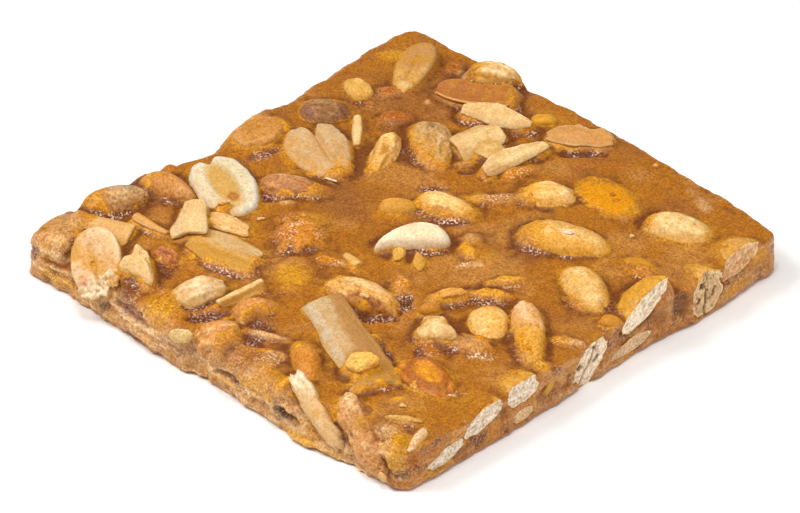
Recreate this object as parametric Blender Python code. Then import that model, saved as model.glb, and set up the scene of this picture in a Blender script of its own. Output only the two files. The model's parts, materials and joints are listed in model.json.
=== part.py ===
"""Square slab of nut brittle: set caramel with peanut kernels, split kernels and coconut shavings sunk in its top.

+X is the sawn side that cuts kernels open, -Y the rounded front side and +Z up. The origin is under the
middle of the whole slab. Every length in the tables is in millimetres and every angle in degrees.
"""

import math

import bmesh
import bpy
from mathutils import Vector, noise

MM = 0.001

# Slab
HALF_X = 46.0
HALF_Y = 47.6
THICK = 8.3
GRID_CELLS = 20
RIM = 0.06
BOTTOM_CHAMFER = 0.5
WALL_ROUGHNESS = 0.3
TOP_WAVE = 0.35
POCKET_GAP = 0.32

# Shoulder radius of each side, from the top face into the wall
SHOULDER = {"right": 0.9, "back": 1.0, "left": 1.5, "front": 3.0}

# How far a side bows out (+) or in (-) at places along it, counted from its middle
OUTLINE = {
    "right": [(-44, 0.5), (-30, 0.5), (-10, 0.0), (2, -0.9), (14, -1.2), (26, -0.2), (40, -1.6)],
    "back": [(-44, -0.6), (-36, -0.8), (-28, 0.2), (-14, 0.0), (4, 0.5), (22, 0.4), (34, 0.0), (42, -1.4)],
    "left": [(-44, 0.7), (-36, 0.6), (-24, 0.4), (-15, -1.6), (-6, -3.8), (2, -2.0), (9, -0.8), (15, -2.2),
             (24, -1.2), (33, -0.2), (42, -0.6)],
    "front": [(-44, -1.8), (-34, -2.2), (-26, -1.3), (-11, 0.2), (-3, -1.0), (12, -0.6), (21, 0.4), (42, -0.8)],
}

# Lumps and hollows of the caramel itself: x, y, height, radius
SWELLS = [
    (-13.2, -10.8, 1.5, 5.5),
    (-3.0, -23.0, 1.1, 3.6),
    (-6.2, 5.0, 1.4, 3.2),
    (12.2, 4.0, 1.5, 3.8),
    (38.0, 19.0, 1.2, 3.8),
    (22.0, 1.4, 0.9, 4.0),
    (34.0, -15.6, 1.2, 3.6),
    (-37.4, 26.0, 1.4, 3.8),
    (-28.5, 28.0, 0.7, 5.0),
    (-0.2, -13.4, 0.8, 3.6),
    (39.0, -38.0, 0.6, 6.0),
    (-13.0, -44.0, 0.6, 5.0),
    (-42.0, 40.0, 0.9, 6.0),
    (-43.0, -14.0, 0.8, 4.0),
    (10.0, 46.0, 0.6, 9.0),
    (-8.0, 46.0, 0.5, 6.0),
    (5.0, -37.0, -0.6, 4.0),
    (21.0, -23.0, -0.6, 3.6),
    (-30.0, 21.5, -0.6, 6.0),
]

# Finishes: base colour, roughness, metallic value
FINISHES = {
    "caramel": ((0.50, 0.19, 0.035), 0.30, 0.0),
    "kernel_cream": ((0.80, 0.58, 0.30), 0.60, 0.0),
    "kernel_golden": ((0.78, 0.42, 0.11), 0.45, 0.0),
    "kernel_toasted": ((0.48, 0.20, 0.06), 0.50, 0.0),
    "coconut": ((0.70, 0.43, 0.18), 0.45, 0.0),
}

# Whole kernels: name, finish, place of the middle, (length, width, height), (roll, pitch, turn)
KERNELS = [
    ("kernel_long_gold", "kernel_golden", (20.8, 18.0, 7.2), (17.0, 9.6, 7.4), (0, 0, 26)),
    ("kernel_right_cream", "kernel_cream", (32.2, 34.6, 6.9), (13.0, 8.4, 7.2), (0, 2, 22)),
    ("kernel_gold_oval", "kernel_golden", (33.4, 10.2, 7.1), (14.6, 7.8, 7.0), (0, -3, -25)),
    ("kernel_back_gold", "kernel_golden", (9.1, 25.9, 6.8), (10.8, 7.6, 7.2), (0, -4, 41)),
    ("kernel_round_gold", "kernel_golden", (29.6, -9.2, 6.9), (10.8, 8.2, 7.2), (0, 0, -40)),
    ("kernel_centre_gold", "kernel_golden", (-0.6, 11.1, 6.8), (12.8, 7.0, 6.8), (0, 4, 15)),
    ("kernel_streaky", "kernel_toasted", (7.5, -18.2, 7.0), (14.6, 7.8, 7.2), (0, 0, 17)),
    ("kernel_ringed", "kernel_toasted", (33.4, -28.0, 6.8), (14.2, 9.0, 7.0), (0, 0, -12)),
    ("kernel_front_brown", "kernel_toasted", (15.0, -39.0, 6.6), (12.6, 5.6, 7.0), (0, 0, -37)),
    ("kernel_front_leaning", "kernel_toasted", (34.6, -44.2, 5.2), (17.6, 6.0, 4.4), (30, 22, -20)),
    ("kernel_low_brown", "kernel_toasted", (-2.6, -34.2, 6.7), (8.8, 5.6, 6.6), (0, 0, 72)),
    ("kernel_low_ridged", "kernel_toasted", (-1.9, -42.6, 6.4), (8.8, 6.4, 6.8), (0, 0, 62)),
    ("kernel_low_cream", "kernel_cream", (-12.6, -37.2, 7.2), (10.4, 7.0, 7.0), (0, -4, 72)),
    ("kernel_red_stub", "kernel_toasted", (-24.6, -33.4, 6.6), (6.2, 5.0, 6.4), (0, 0, 0)),
    ("kernel_edge_porous", "kernel_toasted", (-42.2, -28.4, 7.9), (12.4, 6.4, 7.0), (0, 0, 68)),
    ("kernel_edge_smooth", "kernel_toasted", (-38.5, -19.0, 7.6), (11.0, 5.2, 6.8), (0, 0, 12)),
    ("kernel_middle_brown", "kernel_toasted", (-23.6, -3.4, 6.8), (13.6, 6.8, 7.0), (0, 0, 29)),
    ("kernel_dark", "kernel_toasted", (-36.6, 17.0, 6.5), (10.0, 7.4, 7.2), (0, 0, 49)),
    ("kernel_wrinkled", "kernel_golden", (-15.9, 22.4, 7.0), (15.2, 8.0, 7.4), (0, 0, -37)),
    ("kernel_porous", "kernel_cream", (-19.8, 14.4, 7.1), (12.6, 4.8, 6.6), (0, 6, -66)),
    ("kernel_back_edge", "kernel_cream", (-22.4, 44.2, 8.3), (9.6, 5.8, 7.4), (0, 0, 45)),
]

# Split kernels: name, finish, middle, (length, width, crown above and keel below the split plane), angles.
# A low crown is a kernel lying split side up, and a low keel one lying on its split side.
HALVES = [
    ("half_cream", "kernel_cream", (-31.8, -12.2, 8.7), (17.0, 10.6, 1.3, 3.6), (10, 4, -20)),
    ("half_heart", "kernel_cream", (-27.8, 7.0, 8.7), (16.4, 10.8, 1.0, 3.4), (8, 3, -23)),
    ("half_pink", "kernel_cream", (-32.2, -42.8, 7.9), (15.6, 9.2, 0.9, 3.0), (22, 14, -36)),
    ("half_yellow", "kernel_golden", (17.2, 32.6, 8.3), (14.8, 7.6, 0.6, 3.4), (0, 0, -8)),
    ("half_tan", "kernel_cream", (-35.0, 36.8, 8.6), (16.6, 6.4, 0.8, 2.6), (6, 0, -61)),
    ("half_amber", "kernel_golden", (-40.0, 4.4, 8.0), (10.6, 7.6, 1.4, 3.0), (0, 0, 84)),
    ("half_cracked", "kernel_golden", (36.4, -6.6, 8.3), (18.4, 5.8, 1.8, 3.4), (0, 3, -40)),
    ("half_bean", "kernel_cream", (2.2, -1.0, 8.2), (13.6, 5.8, 2.4, 2.6), (0, 0, 60)),
    ("half_front_strip", "kernel_cream", (24.4, -45.6, 6.0), (16.4, 3.6, 1.4, 1.4), (40, 26, -12)),
]

# Broken pieces: name, finish, middle, (length, width, height), angles
CHUNKS = [
    ("chunk_cream", "kernel_cream", (-25.2, -39.4, 9.2), (9.6, 5.6, 5.6), (8, -6, -40)),
    ("chunk_wedge", "kernel_cream", (24.0, -17.2, 8.6), (9.6, 4.8, 4.0), (0, 4, -34)),
    ("chunk_ridge", "kernel_golden", (18.6, -8.6, 8.2), (8.6, 3.6, 4.4), (0, 0, 56)),
    ("chunk_on_shaving", "kernel_golden", (23.8, -34.6, 10.4), (5.6, 4.4, 1.9), (0, 0, 20)),
    ("chunk_chip", "kernel_cream", (-23.2, -19.6, 8.9), (8.0, 3.0, 1.8), (0, 0, 13)),
]

# Coconut shavings: name, middle, (length, width, arch across, sag along), angles, how much narrower the +X end is
SHAVINGS = [
    ("shaving_broad", (16.8, -30.8, 8.8), (27.0, 8.6, 0.9, 0.6), (10, 2, -27), -0.10),
    ("shaving_flat", (-17.9, -26.5, 8.9), (13.4, 8.2, 0.3, 0.3), (4, 0, 14), 0.05),
    ("shaving_upright", (-28.0, -24.0, 10.1), (10.0, 5.2, 0.4, 0.2), (12, 0, -48), 0.10),
    ("shaving_corner", (-38.2, -35.0, 9.2), (11.0, 5.2, 0.9, 0.4), (-6, 2, 26), 0.10),
    ("shaving_corner_wedge", (-32.2, -29.6, 9.3), (7.4, 2.2, 0.2, 0.2), (0, 6, 8), 0.50),
    ("shaving_thin", (-7.0, -33.2, 9.2), (10.4, 1.8, 0.2, 0.5), (24, 0, 86), 0.45),
    ("shaving_brown", (-20.8, 38.0, 8.7), (14.2, 4.2, 0.5, 0.4), (0, 0, 34), 0.15),
    ("shaving_pale", (-13.0, 35.4, 9.4), (13.0, 2.4, 0.3, 0.6), (26, 0, 26), 0.35),
    ("shaving_wide", (-11.0, 28.8, 9.1), (8.6, 6.2, 0.8, 0.3), (6, 0, 74), 0.05),
    ("shaving_long", (-2.0, 29.0, 9.1), (12.0, 3.4, 0.4, 0.5), (20, 0, 79), 0.20),
    ("shaving_mauve", (1.6, 41.2, 9.0), (11.6, 4.4, 0.5, 0.3), (16, 0, 38), 0.15),
    ("shaving_sliver", (-28.0, 16.2, 8.8), (8.0, 1.7, 0.1, 0.2), (10, 0, -46), 0.35),
]
SHAVING_THICK = 0.9
BEAN_BEND = 1.6

# Kernels sawn open by the +X side: name, (y, z) of the cut's middle, (width, height), tilt of the cut, depth
SAWN = [
    ("sawn_arc", (-36.4, 3.1), (8.6, 3.2), 12, 6.0),
    ("sawn_upper_low", (-27.4, 6.1), (9.8, 4.0), 14, 6.5),
    ("sawn_upper_mid", (-17.6, 6.8), (7.4, 4.6), 4, 5.0),
    ("sawn_round", (-17.6, 2.1), (4.8, 2.6), 0, 5.0),
    ("sawn_double", (-0.6, 4.2), (9.2, 6.0), 38, 6.5),
    ("sawn_top", (13.4, 8.4), (13.0, 4.4), 28, 5.0),
    ("sawn_under", (10.0, 2.4), (10.0, 2.7), 6, 5.5),
    ("sawn_big", (27.8, 4.9), (8.6, 7.4), 60, 6.5),
    ("sawn_corner", (36.6, 6.8), (9.6, 5.0), 10, 5.5),
]
SAWN_INSET = 0.25


def eased(stations, at):
    """Value at a place along hand-set (place, value) stations, eased from one to the next."""
    at = min(max(at, stations[0][0]), stations[-1][0])
    for (start, low), (end, high) in zip(stations, stations[1:]):
        if at <= end:
            t = (at - start) / (end - start)
            return low + (high - low) * t * t * (3 - 2 * t)
    return stations[-1][1]


def top_height(x, y):
    """Height of the caramel's top at a place: the slab's thickness, a slow wave and the swells."""
    wave = TOP_WAVE * noise.noise(Vector((x / 13, y / 13, 2.5)))
    swell = sum(h * math.exp(-((x - sx) ** 2 + (y - sy) ** 2) / r**2) for sx, sy, h, r in SWELLS)
    return THICK + wave + swell


def rim(s, t):
    """Where the slab's outline passes a point of the unit square's edge, the way out there and the shoulder radius.

    The square has round corners of radius RIM. Each side bows by its own outline, and the corners blend
    the shoulders of the sides that meet there.
    """
    core = Vector((max(min(s, 1 - RIM), RIM - 1), max(min(t, 1 - RIM), RIM - 1)))
    out = (Vector((s, t)) - core).normalized()
    plan = core + out * RIM
    plan = Vector((plan.x * HALF_X, plan.y * HALF_Y))
    side_x = "right" if s > 0 else "left"
    side_y = "back" if t > 0 else "front"
    bow_x, bow_y = eased(OUTLINE[side_x], plan.y), eased(OUTLINE[side_y], plan.x)
    plan += Vector((out.x * bow_x, out.y * bow_y))
    return plan, out, out.x**2 * SHOULDER[side_x] + out.y**2 * SHOULDER[side_y]


def top_point(s, t):
    """A point of the top face: the square's edge goes to the outline less the shoulder, and the rest inside it."""
    edge = max(abs(s), abs(t))
    if edge == 0:
        return Vector((0, 0, top_height(0, 0)))
    plan, out, shoulder = rim(s / edge, t / edge)
    plan = (plan - out * shoulder) * edge
    return Vector((plan.x, plan.y, top_height(plan.x, plan.y)))


def wall_points(s, t):
    """The points below one point of the top's edge: round the shoulder, down the rough wall and under its foot."""
    plan, out, shoulder = rim(s, t)
    start = plan - out * shoulder
    top = top_height(start.x, start.y)
    steps = [(shoulder * math.sin(a), top - shoulder * (1 - math.cos(a))) for a in (math.pi / 4, math.pi / 2)]
    steps += [(shoulder, top * 0.35), (shoulder, BOTTOM_CHAMFER), (shoulder - BOTTOM_CHAMFER, 0)]
    points = []
    for outward, height in steps:
        place = start + out * outward
        if height and outward == shoulder:
            place += out * (WALL_ROUGHNESS * noise.noise(Vector((place.x / 5, place.y / 5, height / 4))))
        points.append(Vector((place.x, place.y, height)))
    return points


def mesh_object(name, bm, finish, middle=(0, 0, 0), angles=(0, 0, 0), smooth=True):
    """An object from a bmesh in millimetres, closed and facing out, with its finish, standing at its place."""
    bmesh.ops.recalc_face_normals(bm, faces=bm.faces)
    bmesh.ops.scale(bm, vec=(MM, MM, MM), verts=bm.verts)
    mesh = bpy.data.meshes.new(name)
    bm.to_mesh(mesh)
    bm.free()
    if smooth:
        mesh.shade_smooth()
        mesh.set_sharp_from_angle(angle=math.radians(45))
    mesh.materials.append(finish_material(finish))
    item = bpy.data.objects.new(name, mesh)
    item.location = Vector(middle) * MM
    item.rotation_euler = [math.radians(a) for a in angles]
    bpy.context.scene.collection.objects.link(item)
    return item


def finish_material(finish):
    """The material of a finish, made once and shared by the pieces that have it."""
    made = bpy.data.materials.get(finish)
    if made:
        return made
    colour, roughness, metallic = FINISHES[finish]
    made = bpy.data.materials.new(finish)
    made.use_nodes = True
    shader = made.node_tree.nodes["Principled BSDF"]
    shader.inputs["Base Color"].default_value = (*colour, 1)
    shader.inputs["Roughness"].default_value = roughness
    shader.inputs["Metallic"].default_value = metallic
    return made


def skin(bm, rings, closed=True):
    """Faces between each ring of points and the next."""
    count = len(rings[0])
    for first, second in zip(rings, rings[1:]):
        for k in range(count if closed else count - 1):
            after = (k + 1) % count
            bm.faces.new((first[k], first[after], second[after], second[k]))


def make_slab():
    """The caramel: a grid over the top, rings down the wall and one flat face under it."""
    bm = bmesh.new()
    inner = [(1 - RIM) * (2 * i / (GRID_CELLS - 2) - 1) for i in range(GRID_CELLS - 1)]
    steps = [-1, *inner, 1]
    top = [[bm.verts.new(top_point(s, t)) for t in steps] for s in steps]
    skin(bm, top, closed=False)
    last = GRID_CELLS
    edge = [(last, j) for j in range(last)] + [(i, last) for i in range(last, 0, -1)]
    edge += [(0, j) for j in range(last, 0, -1)] + [(i, 0) for i in range(last)]
    columns = [[bm.verts.new(p) for p in wall_points(steps[i], steps[j])] for i, j in edge]
    rings = [[top[i][j] for i, j in edge], *[list(ring) for ring in zip(*columns)]]
    skin(bm, rings)
    bm.faces.new(rings[-1])
    return mesh_object("caramel_slab", bm, "caramel")


def egg(length, width, crown, keel, around, along, bend=0.0):
    """A closed egg along X, blunter at its -X end: rings about its axis between two poles.

    The crown is its height above the axis and the keel its depth below it. A bend bows it across Y.
    """
    bm = bmesh.new()
    rings = []
    for i in range(1, along):
        x = -math.cos(math.pi * i / along)
        girth = (1 - x * x) ** 0.4 * (1 - 0.12 * x)
        ring = []
        for k in range(around):
            turn = 2 * math.pi * k / around
            rise = math.sin(turn) * (crown if math.sin(turn) > 0 else keel)
            across = girth * math.cos(turn) * width / 2 + bend * (x * x - 0.4)
            ring.append(bm.verts.new((x * length / 2, across, girth * rise)))
        rings.append(ring)
    skin(bm, rings)
    for sign, ring in ((-1, rings[0]), (1, rings[-1])):
        pole = bm.verts.new((sign * length / 2, bend * 0.6, 0))
        for k in range(around):
            bm.faces.new((pole, ring[k], ring[(k + 1) % around]))
    return bm


def kernel(size, grow):
    """A whole kernel of that length, width and height, grown on every side."""
    length, width, height = (s + 2 * grow for s in size)
    return egg(length, width, height / 2, height / 2, 8, 5)


def half(size, grow, bend=0.0):
    """A split kernel: its crown above the split plane and its keel below it, grown on every side."""
    length, width, crown, keel = size
    return egg(length + 2 * grow, width + 2 * grow, crown + grow, keel + grow, 8, 6, bend)


def chunk(size, grow, seed):
    """A broken piece: a ball of few facets with its corners pulled unevenly, grown on every side."""
    bm = bmesh.new()
    bmesh.ops.create_icosphere(bm, subdivisions=1, radius=1)
    for vert in bm.verts:
        uneven = 1 + 0.22 * noise.noise(vert.co * 1.7 + Vector((seed, 0, 0)))
        boxy = [math.copysign(abs(c) ** 0.75, c) for c in vert.co]
        vert.co = [c * uneven * (s / 2 + grow) for c, s in zip(boxy, size)]
    return bm


def shaving(size, grow, narrower):
    """A thin curled strip along X: arched across its width, sagging along its length, narrower at its +X end."""
    length, width, arch, sag = size
    stations, across = 4, 2
    bm = bmesh.new()
    rings = []
    for i in range(stations + 1):
        x = 2 * i / stations - 1
        half_width = (width / 2) * (1 - narrower * (x + 1) / 2) * (1 - 0.12 * x * x) + grow
        ring = []
        for side, order in ((1, range(across + 1)), (-1, range(across, -1, -1))):
            for k in order:
                y = 2 * k / across - 1
                z = arch * (0.5 - y * y) + sag * (x * x - 0.4) + side * (SHAVING_THICK / 2 + grow)
                ring.append(bm.verts.new((x * (length / 2 + grow), y * half_width, z)))
        rings.append(ring)
    skin(bm, rings)
    bm.faces.new(rings[0])
    bm.faces.new(rings[-1])
    return bm


def sawn(size, depth, grow):
    """A kernel lying along X with its widest place at the saw's plane, x = 0. Only a cutter keeps what lies beyond."""
    bm = egg(2 * (depth + grow), size[0] + 2 * grow, size[1] / 2 + grow, size[1] / 2 + grow, 10, 6)
    if grow:
        return bm
    everything = [*bm.verts, *bm.edges, *bm.faces]
    bmesh.ops.bisect_plane(bm, geom=everything, plane_co=(0, 0, 0), plane_no=(1, 0, 0), clear_outer=True)
    bmesh.ops.holes_fill(bm, edges=bm.edges)
    return bm


def add_pair(name, finish, shape, middle, angles, pockets):
    """Adds the piece that a function of growth makes, and its grown twin, the cutter of its pocket."""
    mesh_object(name, shape(0), finish, middle, angles)
    cutter = mesh_object("pocket_" + name, shape(POCKET_GAP), finish, middle, angles, smooth=False)
    cutter.hide_render = True
    cutter.display_type = "WIRE"
    bpy.context.scene.collection.objects.unlink(cutter)
    pockets.objects.link(cutter)


def add_pieces(pockets):
    """Every kernel, split kernel, chunk, shaving and sawn kernel, with its pocket."""
    for name, finish, middle, size, angles in KERNELS:
        add_pair(name, finish, lambda grow: kernel(size, grow), middle, angles, pockets)
    for name, finish, middle, size, angles in HALVES:
        bend = BEAN_BEND if name == "half_bean" else 0.0
        add_pair(name, finish, lambda grow: half(size, grow, bend), middle, angles, pockets)
    for seed, (name, finish, middle, size, angles) in enumerate(CHUNKS):
        add_pair(name, finish, lambda grow: chunk(size, grow, seed), middle, angles, pockets)
    for name, middle, size, angles, narrower in SHAVINGS:
        add_pair(name, "coconut", lambda grow: shaving(size, grow, narrower), middle, angles, pockets)
    for name, (along, height), size, tilt, depth in SAWN:
        middle = (HALF_X + eased(OUTLINE["right"], along) - SAWN_INSET, along, height)
        add_pair(name, "kernel_cream", lambda grow: sawn(size, depth, grow), middle, (tilt, 0, 0), pockets)


def main():
    for item in list(bpy.data.objects):
        bpy.data.objects.remove(item)
    pockets = bpy.data.collections.new("pockets")
    bpy.context.scene.collection.children.link(pockets)
    slab = make_slab()
    add_pieces(pockets)
    room = slab.modifiers.new("pockets", "BOOLEAN")
    room.operation = "DIFFERENCE"
    room.operand_type = "COLLECTION"
    room.collection = pockets
    room.solver = "EXACT"


main()
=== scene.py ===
import itertools
import json

import bpy
import numpy as np
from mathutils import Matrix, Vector


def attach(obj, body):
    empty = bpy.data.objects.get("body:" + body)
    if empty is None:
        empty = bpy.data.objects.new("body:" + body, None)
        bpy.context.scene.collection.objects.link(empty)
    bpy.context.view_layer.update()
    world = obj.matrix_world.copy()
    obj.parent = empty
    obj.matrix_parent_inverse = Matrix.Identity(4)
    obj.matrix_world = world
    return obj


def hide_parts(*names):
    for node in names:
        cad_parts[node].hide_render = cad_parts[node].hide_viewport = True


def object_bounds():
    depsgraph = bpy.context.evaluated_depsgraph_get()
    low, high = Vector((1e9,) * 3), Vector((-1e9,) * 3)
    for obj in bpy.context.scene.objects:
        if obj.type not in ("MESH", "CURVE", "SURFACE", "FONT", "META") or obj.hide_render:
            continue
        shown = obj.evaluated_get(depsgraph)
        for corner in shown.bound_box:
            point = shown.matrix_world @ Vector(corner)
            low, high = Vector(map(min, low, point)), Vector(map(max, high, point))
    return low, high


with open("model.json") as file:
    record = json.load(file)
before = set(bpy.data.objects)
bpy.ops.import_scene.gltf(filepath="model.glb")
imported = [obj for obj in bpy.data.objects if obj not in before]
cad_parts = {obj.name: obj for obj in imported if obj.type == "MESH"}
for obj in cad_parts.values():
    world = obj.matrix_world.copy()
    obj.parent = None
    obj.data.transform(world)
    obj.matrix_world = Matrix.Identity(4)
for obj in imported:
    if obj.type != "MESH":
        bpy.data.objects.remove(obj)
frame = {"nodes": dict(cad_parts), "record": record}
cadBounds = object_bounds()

# Lengths below are millimetres and colours are screen colours from 0 to 255: both are turned on the way out
metre = 0.001
boxLow, boxHigh = [np.array(corner) / metre for corner in cadBounds]
slotOf = {row["node"]: row["material_slot"] for row in frame["record"]["subparts"]}
print("frame loaded:", len(frame["nodes"]), "nodes")


def linear(colour):
    # Screen colour 0-255 to the linear colour that shaders use
    c = np.asarray(colour, float) / 255
    return np.where(c <= 0.04045, c / 12.92, ((c + 0.055) / 1.055) ** 2.4)


def smooth(value, low, high):
    # 0 below low, 1 above high, an S-curve between them
    t = np.clip((value - low) / (high - low), 0, 1)
    return t * t * (3 - 2 * t)


def blend(first, second, amount):
    # Two colours, or arrays of them, mixed by an amount for each point
    return first + (second - first) * np.clip(np.asarray(amount), 0, 1)[..., None]


def painted(tint, coats):
    # A colour field with coats laid over it in turn, each a screen colour and its share at each point
    for tone, share in coats:
        tint = blend(tint, linear(tone), share)
    return tint


def stacked(*parts):
    # Points from their coordinates, each a number or an array that fits the others
    return np.stack(np.broadcast_arrays(*parts), -1)


latticeCells = 24       # the lattice of noise and pores repeats after that many cells
latticeShift = 40.5     # and lies that many cells off, so that its corner is outside the piece


def noise(points, size, seed):
    # Gradient noise: random directions on a lattice of that cell size, dotted with the offsets and eased
    rng = np.random.default_rng(seed)
    table = rng.normal(size=(latticeCells, latticeCells, latticeCells, 3))
    table /= np.linalg.norm(table, axis=-1, keepdims=True)
    scaled = points / size + latticeShift
    cell = np.floor(scaled).astype(int)
    inside = scaled - cell
    ease = inside ** 3 * (inside * (inside * 6 - 15) + 10)
    total = np.zeros(points.shape[:-1])
    for corner in itertools.product((0, 1), repeat=3):
        at = (cell + corner) % latticeCells
        slope = table[at[..., 0], at[..., 1], at[..., 2]]
        weight = np.prod(np.where(corner, ease, 1 - ease), axis=-1)
        total += weight * ((inside - corner) * slope).sum(-1)
    return total * 1.7


def layered(points, size, seed, octaves=3):
    # Noise at that size plus finer layers, each half as large and half as strong
    return sum(noise(points, size / 2 ** k, seed + 17 * k) / 2 ** k for k in range(octaves))


def pores(points, size, seed):
    # Distance, in cells, to the nearest of one random point per lattice cell: 0 at a point, 0.9 far from all
    rng = np.random.default_rng(seed)
    table = rng.random((latticeCells, latticeCells, latticeCells, 3))
    scaled = points / size + latticeShift
    cell = np.floor(scaled).astype(int)
    nearest = np.full(points.shape[:-1], 9.0)
    for step in itertools.product((-1, 0, 1), repeat=3):
        other = cell + step
        at = other % latticeCells
        away = other + table[at[..., 0], at[..., 1], at[..., 2]] - scaled
        nearest = np.minimum(nearest, (away ** 2).sum(-1))
    return np.sqrt(nearest)


def gridNormals(rings):
    # Unit normals of a grid of rings, from the differences to the neighbours along and around
    around = np.roll(rings, -1, axis=1) - np.roll(rings, 1, axis=1)
    along = np.gradient(rings, axis=0)
    out = np.cross(around, along)
    out /= np.linalg.norm(out, axis=-1, keepdims=True) + 1e-9
    middle = rings.mean((0, 1))
    return out if ((rings - middle) * out).sum() > 0 else -out


def facedOut(points, quads, tris):
    # Faces turned round where they enclose a negative volume
    corners = points[quads] - points.mean(0)
    volume = np.einsum("ij,ij->i", corners[:, 0], np.cross(corners[:, 1], corners[:, 2])).sum()
    volume += np.einsum("ij,ij->i", corners[:, 0], np.cross(corners[:, 2], corners[:, 3])).sum()
    return (points, quads[:, ::-1], tris[:, ::-1]) if volume < 0 else (points, quads, tris)


def fillMesh(name, points, quads, tris, tint, extra, material):
    # A mesh object from point and face arrays in millimetres, with its colour and its other point attributes,
    # never below the floor
    mesh = bpy.data.meshes.new(name)
    mesh.vertices.add(len(points))
    points = np.concatenate([points[:, :2], np.clip(points[:, 2:], 0, None)], axis=1)
    mesh.vertices.foreach_set("co", (points * metre).ravel())
    loops = np.concatenate([quads.ravel(), tris.ravel()])
    starts = np.concatenate([np.arange(len(quads)) * 4, len(quads) * 4 + np.arange(len(tris)) * 3])
    mesh.loops.add(len(loops))
    mesh.loops.foreach_set("vertex_index", loops)
    mesh.polygons.add(len(starts))
    mesh.polygons.foreach_set("loop_start", starts)
    mesh.update(calc_edges=True)
    mesh.shade_smooth()
    colour = mesh.attributes.new("tint", "FLOAT_COLOR", "POINT")
    colour.data.foreach_set("color", np.concatenate([tint, np.ones((len(points), 1))], axis=1).ravel())
    for key, values in extra.items():
        mesh.attributes.new(key, "FLOAT", "POINT").data.foreach_set("value", values)
    mesh.materials.append(material)
    piece = bpy.data.objects.new(name, mesh)
    bpy.context.scene.collection.objects.link(piece)
    return piece


def ringFaces(rows, columns, first=0):
    # Quads between rows of points, each row a closed ring
    i, j = np.meshgrid(np.arange(rows - 1), np.arange(columns), indexing="ij")
    after = (j + 1) % columns
    quads = [i * columns + j, i * columns + after, (i + 1) * columns + after, (i + 1) * columns + j]
    return np.stack(quads, axis=-1).reshape(-1, 4) + first


def closedPoints(rings):
    # The rings' points with a pole before the first ring and one after the last, and the faces that close them
    rows, columns = rings.shape[:2]
    points = np.concatenate([rings.reshape(-1, 3), rings[:1].mean(1), rings[-1:].mean(1)])
    j = np.arange(columns)
    after = (j + 1) % columns
    start = np.full(columns, rows * columns)
    end = start + 1
    last = (rows - 1) * columns
    tris = np.concatenate([np.stack([start, after, j], -1), np.stack([end, last + j, last + after], -1)])
    return facedOut(points, ringFaces(rows, columns), tris)


def meshPoints(mesh):
    # A mesh's points in millimetres
    flat = np.empty(len(mesh.vertices) * 3)
    mesh.vertices.foreach_get("co", flat)
    return flat.reshape(-1, 3) / metre


roundish = 1.25     # solids as wide as high, to that share, have the axis nearest to straight up as their third


def layOf(node):
    # Middle, axes (long one towards the slimmer end, third one upward) and half sizes of a node's solid
    mesh = frame["nodes"][node].data
    points = meshPoints(mesh)
    mesh.calc_loop_triangles()
    index = np.empty(len(mesh.loop_triangles) * 3, int)
    mesh.loop_triangles.foreach_get("vertices", index)
    corners = points[index].reshape(-1, 3, 3)
    sides = corners[:, 1:] - corners[:, :1]
    area = np.linalg.norm(np.cross(sides[:, 0], sides[:, 1]), axis=1)[:, None]
    mids = corners.mean(1)
    centroid = (mids * area).sum(0) / area.sum()
    spread, axes = np.linalg.eigh(((mids - centroid) * area).T @ (mids - centroid))
    long = axes[:, 2]
    up = max(axes[:, 0], axes[:, 1], key=lambda axis: abs(axis[2]))
    if spread[1] / spread[0] < roundish:
        up = np.array([0, 0, 1]) - long * long[2]
        up /= np.linalg.norm(up)
    up = up * np.sign(up[2])
    ends = points @ long
    if centroid @ long > (ends.min() + ends.max()) / 2:
        long = -long
    basis = np.array([long, np.cross(up, long), up])
    local = points @ basis.T
    low, high = local.min(0), local.max(0)
    middle = (low + high) / 2
    return {"middle": middle @ basis, "basis": basis, "half": (high - low) / 2, "local": local - middle}


def placed(local, lay):
    # Local points, in millimetres from the solid's middle, turned and moved to where it lies
    return lay["middle"] + local @ lay["basis"]


def dented(local, look):
    # Depth to push each point down: a bell for each dent of the look, at its share of length and width
    depth = np.zeros(local.shape[:-1])
    for x, y, radius, deep in look.get("dents", []):
        depth += deep * np.exp(-((local[..., 0] - x) ** 2 + (local[..., 1] - y) ** 2) / radius ** 2)
    return depth


def roughened(rings, look, seed):
    # Rings moved along their normals by slow lumps, wrinkles drawn out along X, pits and fine grain
    normals = gridNormals(rings)
    stretched = rings * np.array([0.3, 1.0, 1.0])
    fine = look["wrinkles"] * layered(stretched, 1.3, seed + 1, 2)
    fine += look["grain"] * layered(rings, 0.8, seed + 2, 2)
    move = look["lumps"] * layered(rings, 4.5, seed, 2) + fine
    pitted = smooth(0.42 - pores(rings, look["pitSize"], seed + 3), 0, 0.25)
    move -= look["pits"] * pitted
    relief = fine / (look["wrinkles"] + look["grain"] + 0.04)
    return rings + normals * move[..., None], {"pit": pitted, "relief": relief}


def ringCount(length, spacing, least):
    return max(least, int(round(length / spacing)))


# Millimetres between the points of each shape: along it or inward, then around it
spacing = {
    "kernel": (0.24, 0.27), "split": (0.2, 0.24), "chunk": (0.22, 0.22), "shaving": (0.2, 0.22),
    "sawn": (0.16, 0.22),
}
fullness = 2.3      # power of a kernel's oval cross-section: 2 is an ellipse, more is squarer
bowlRows = 16       # rings of a split kernel's bowl, below its rim
bodyRows = 22       # rings of a sawn kernel's body, behind its cut face


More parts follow.
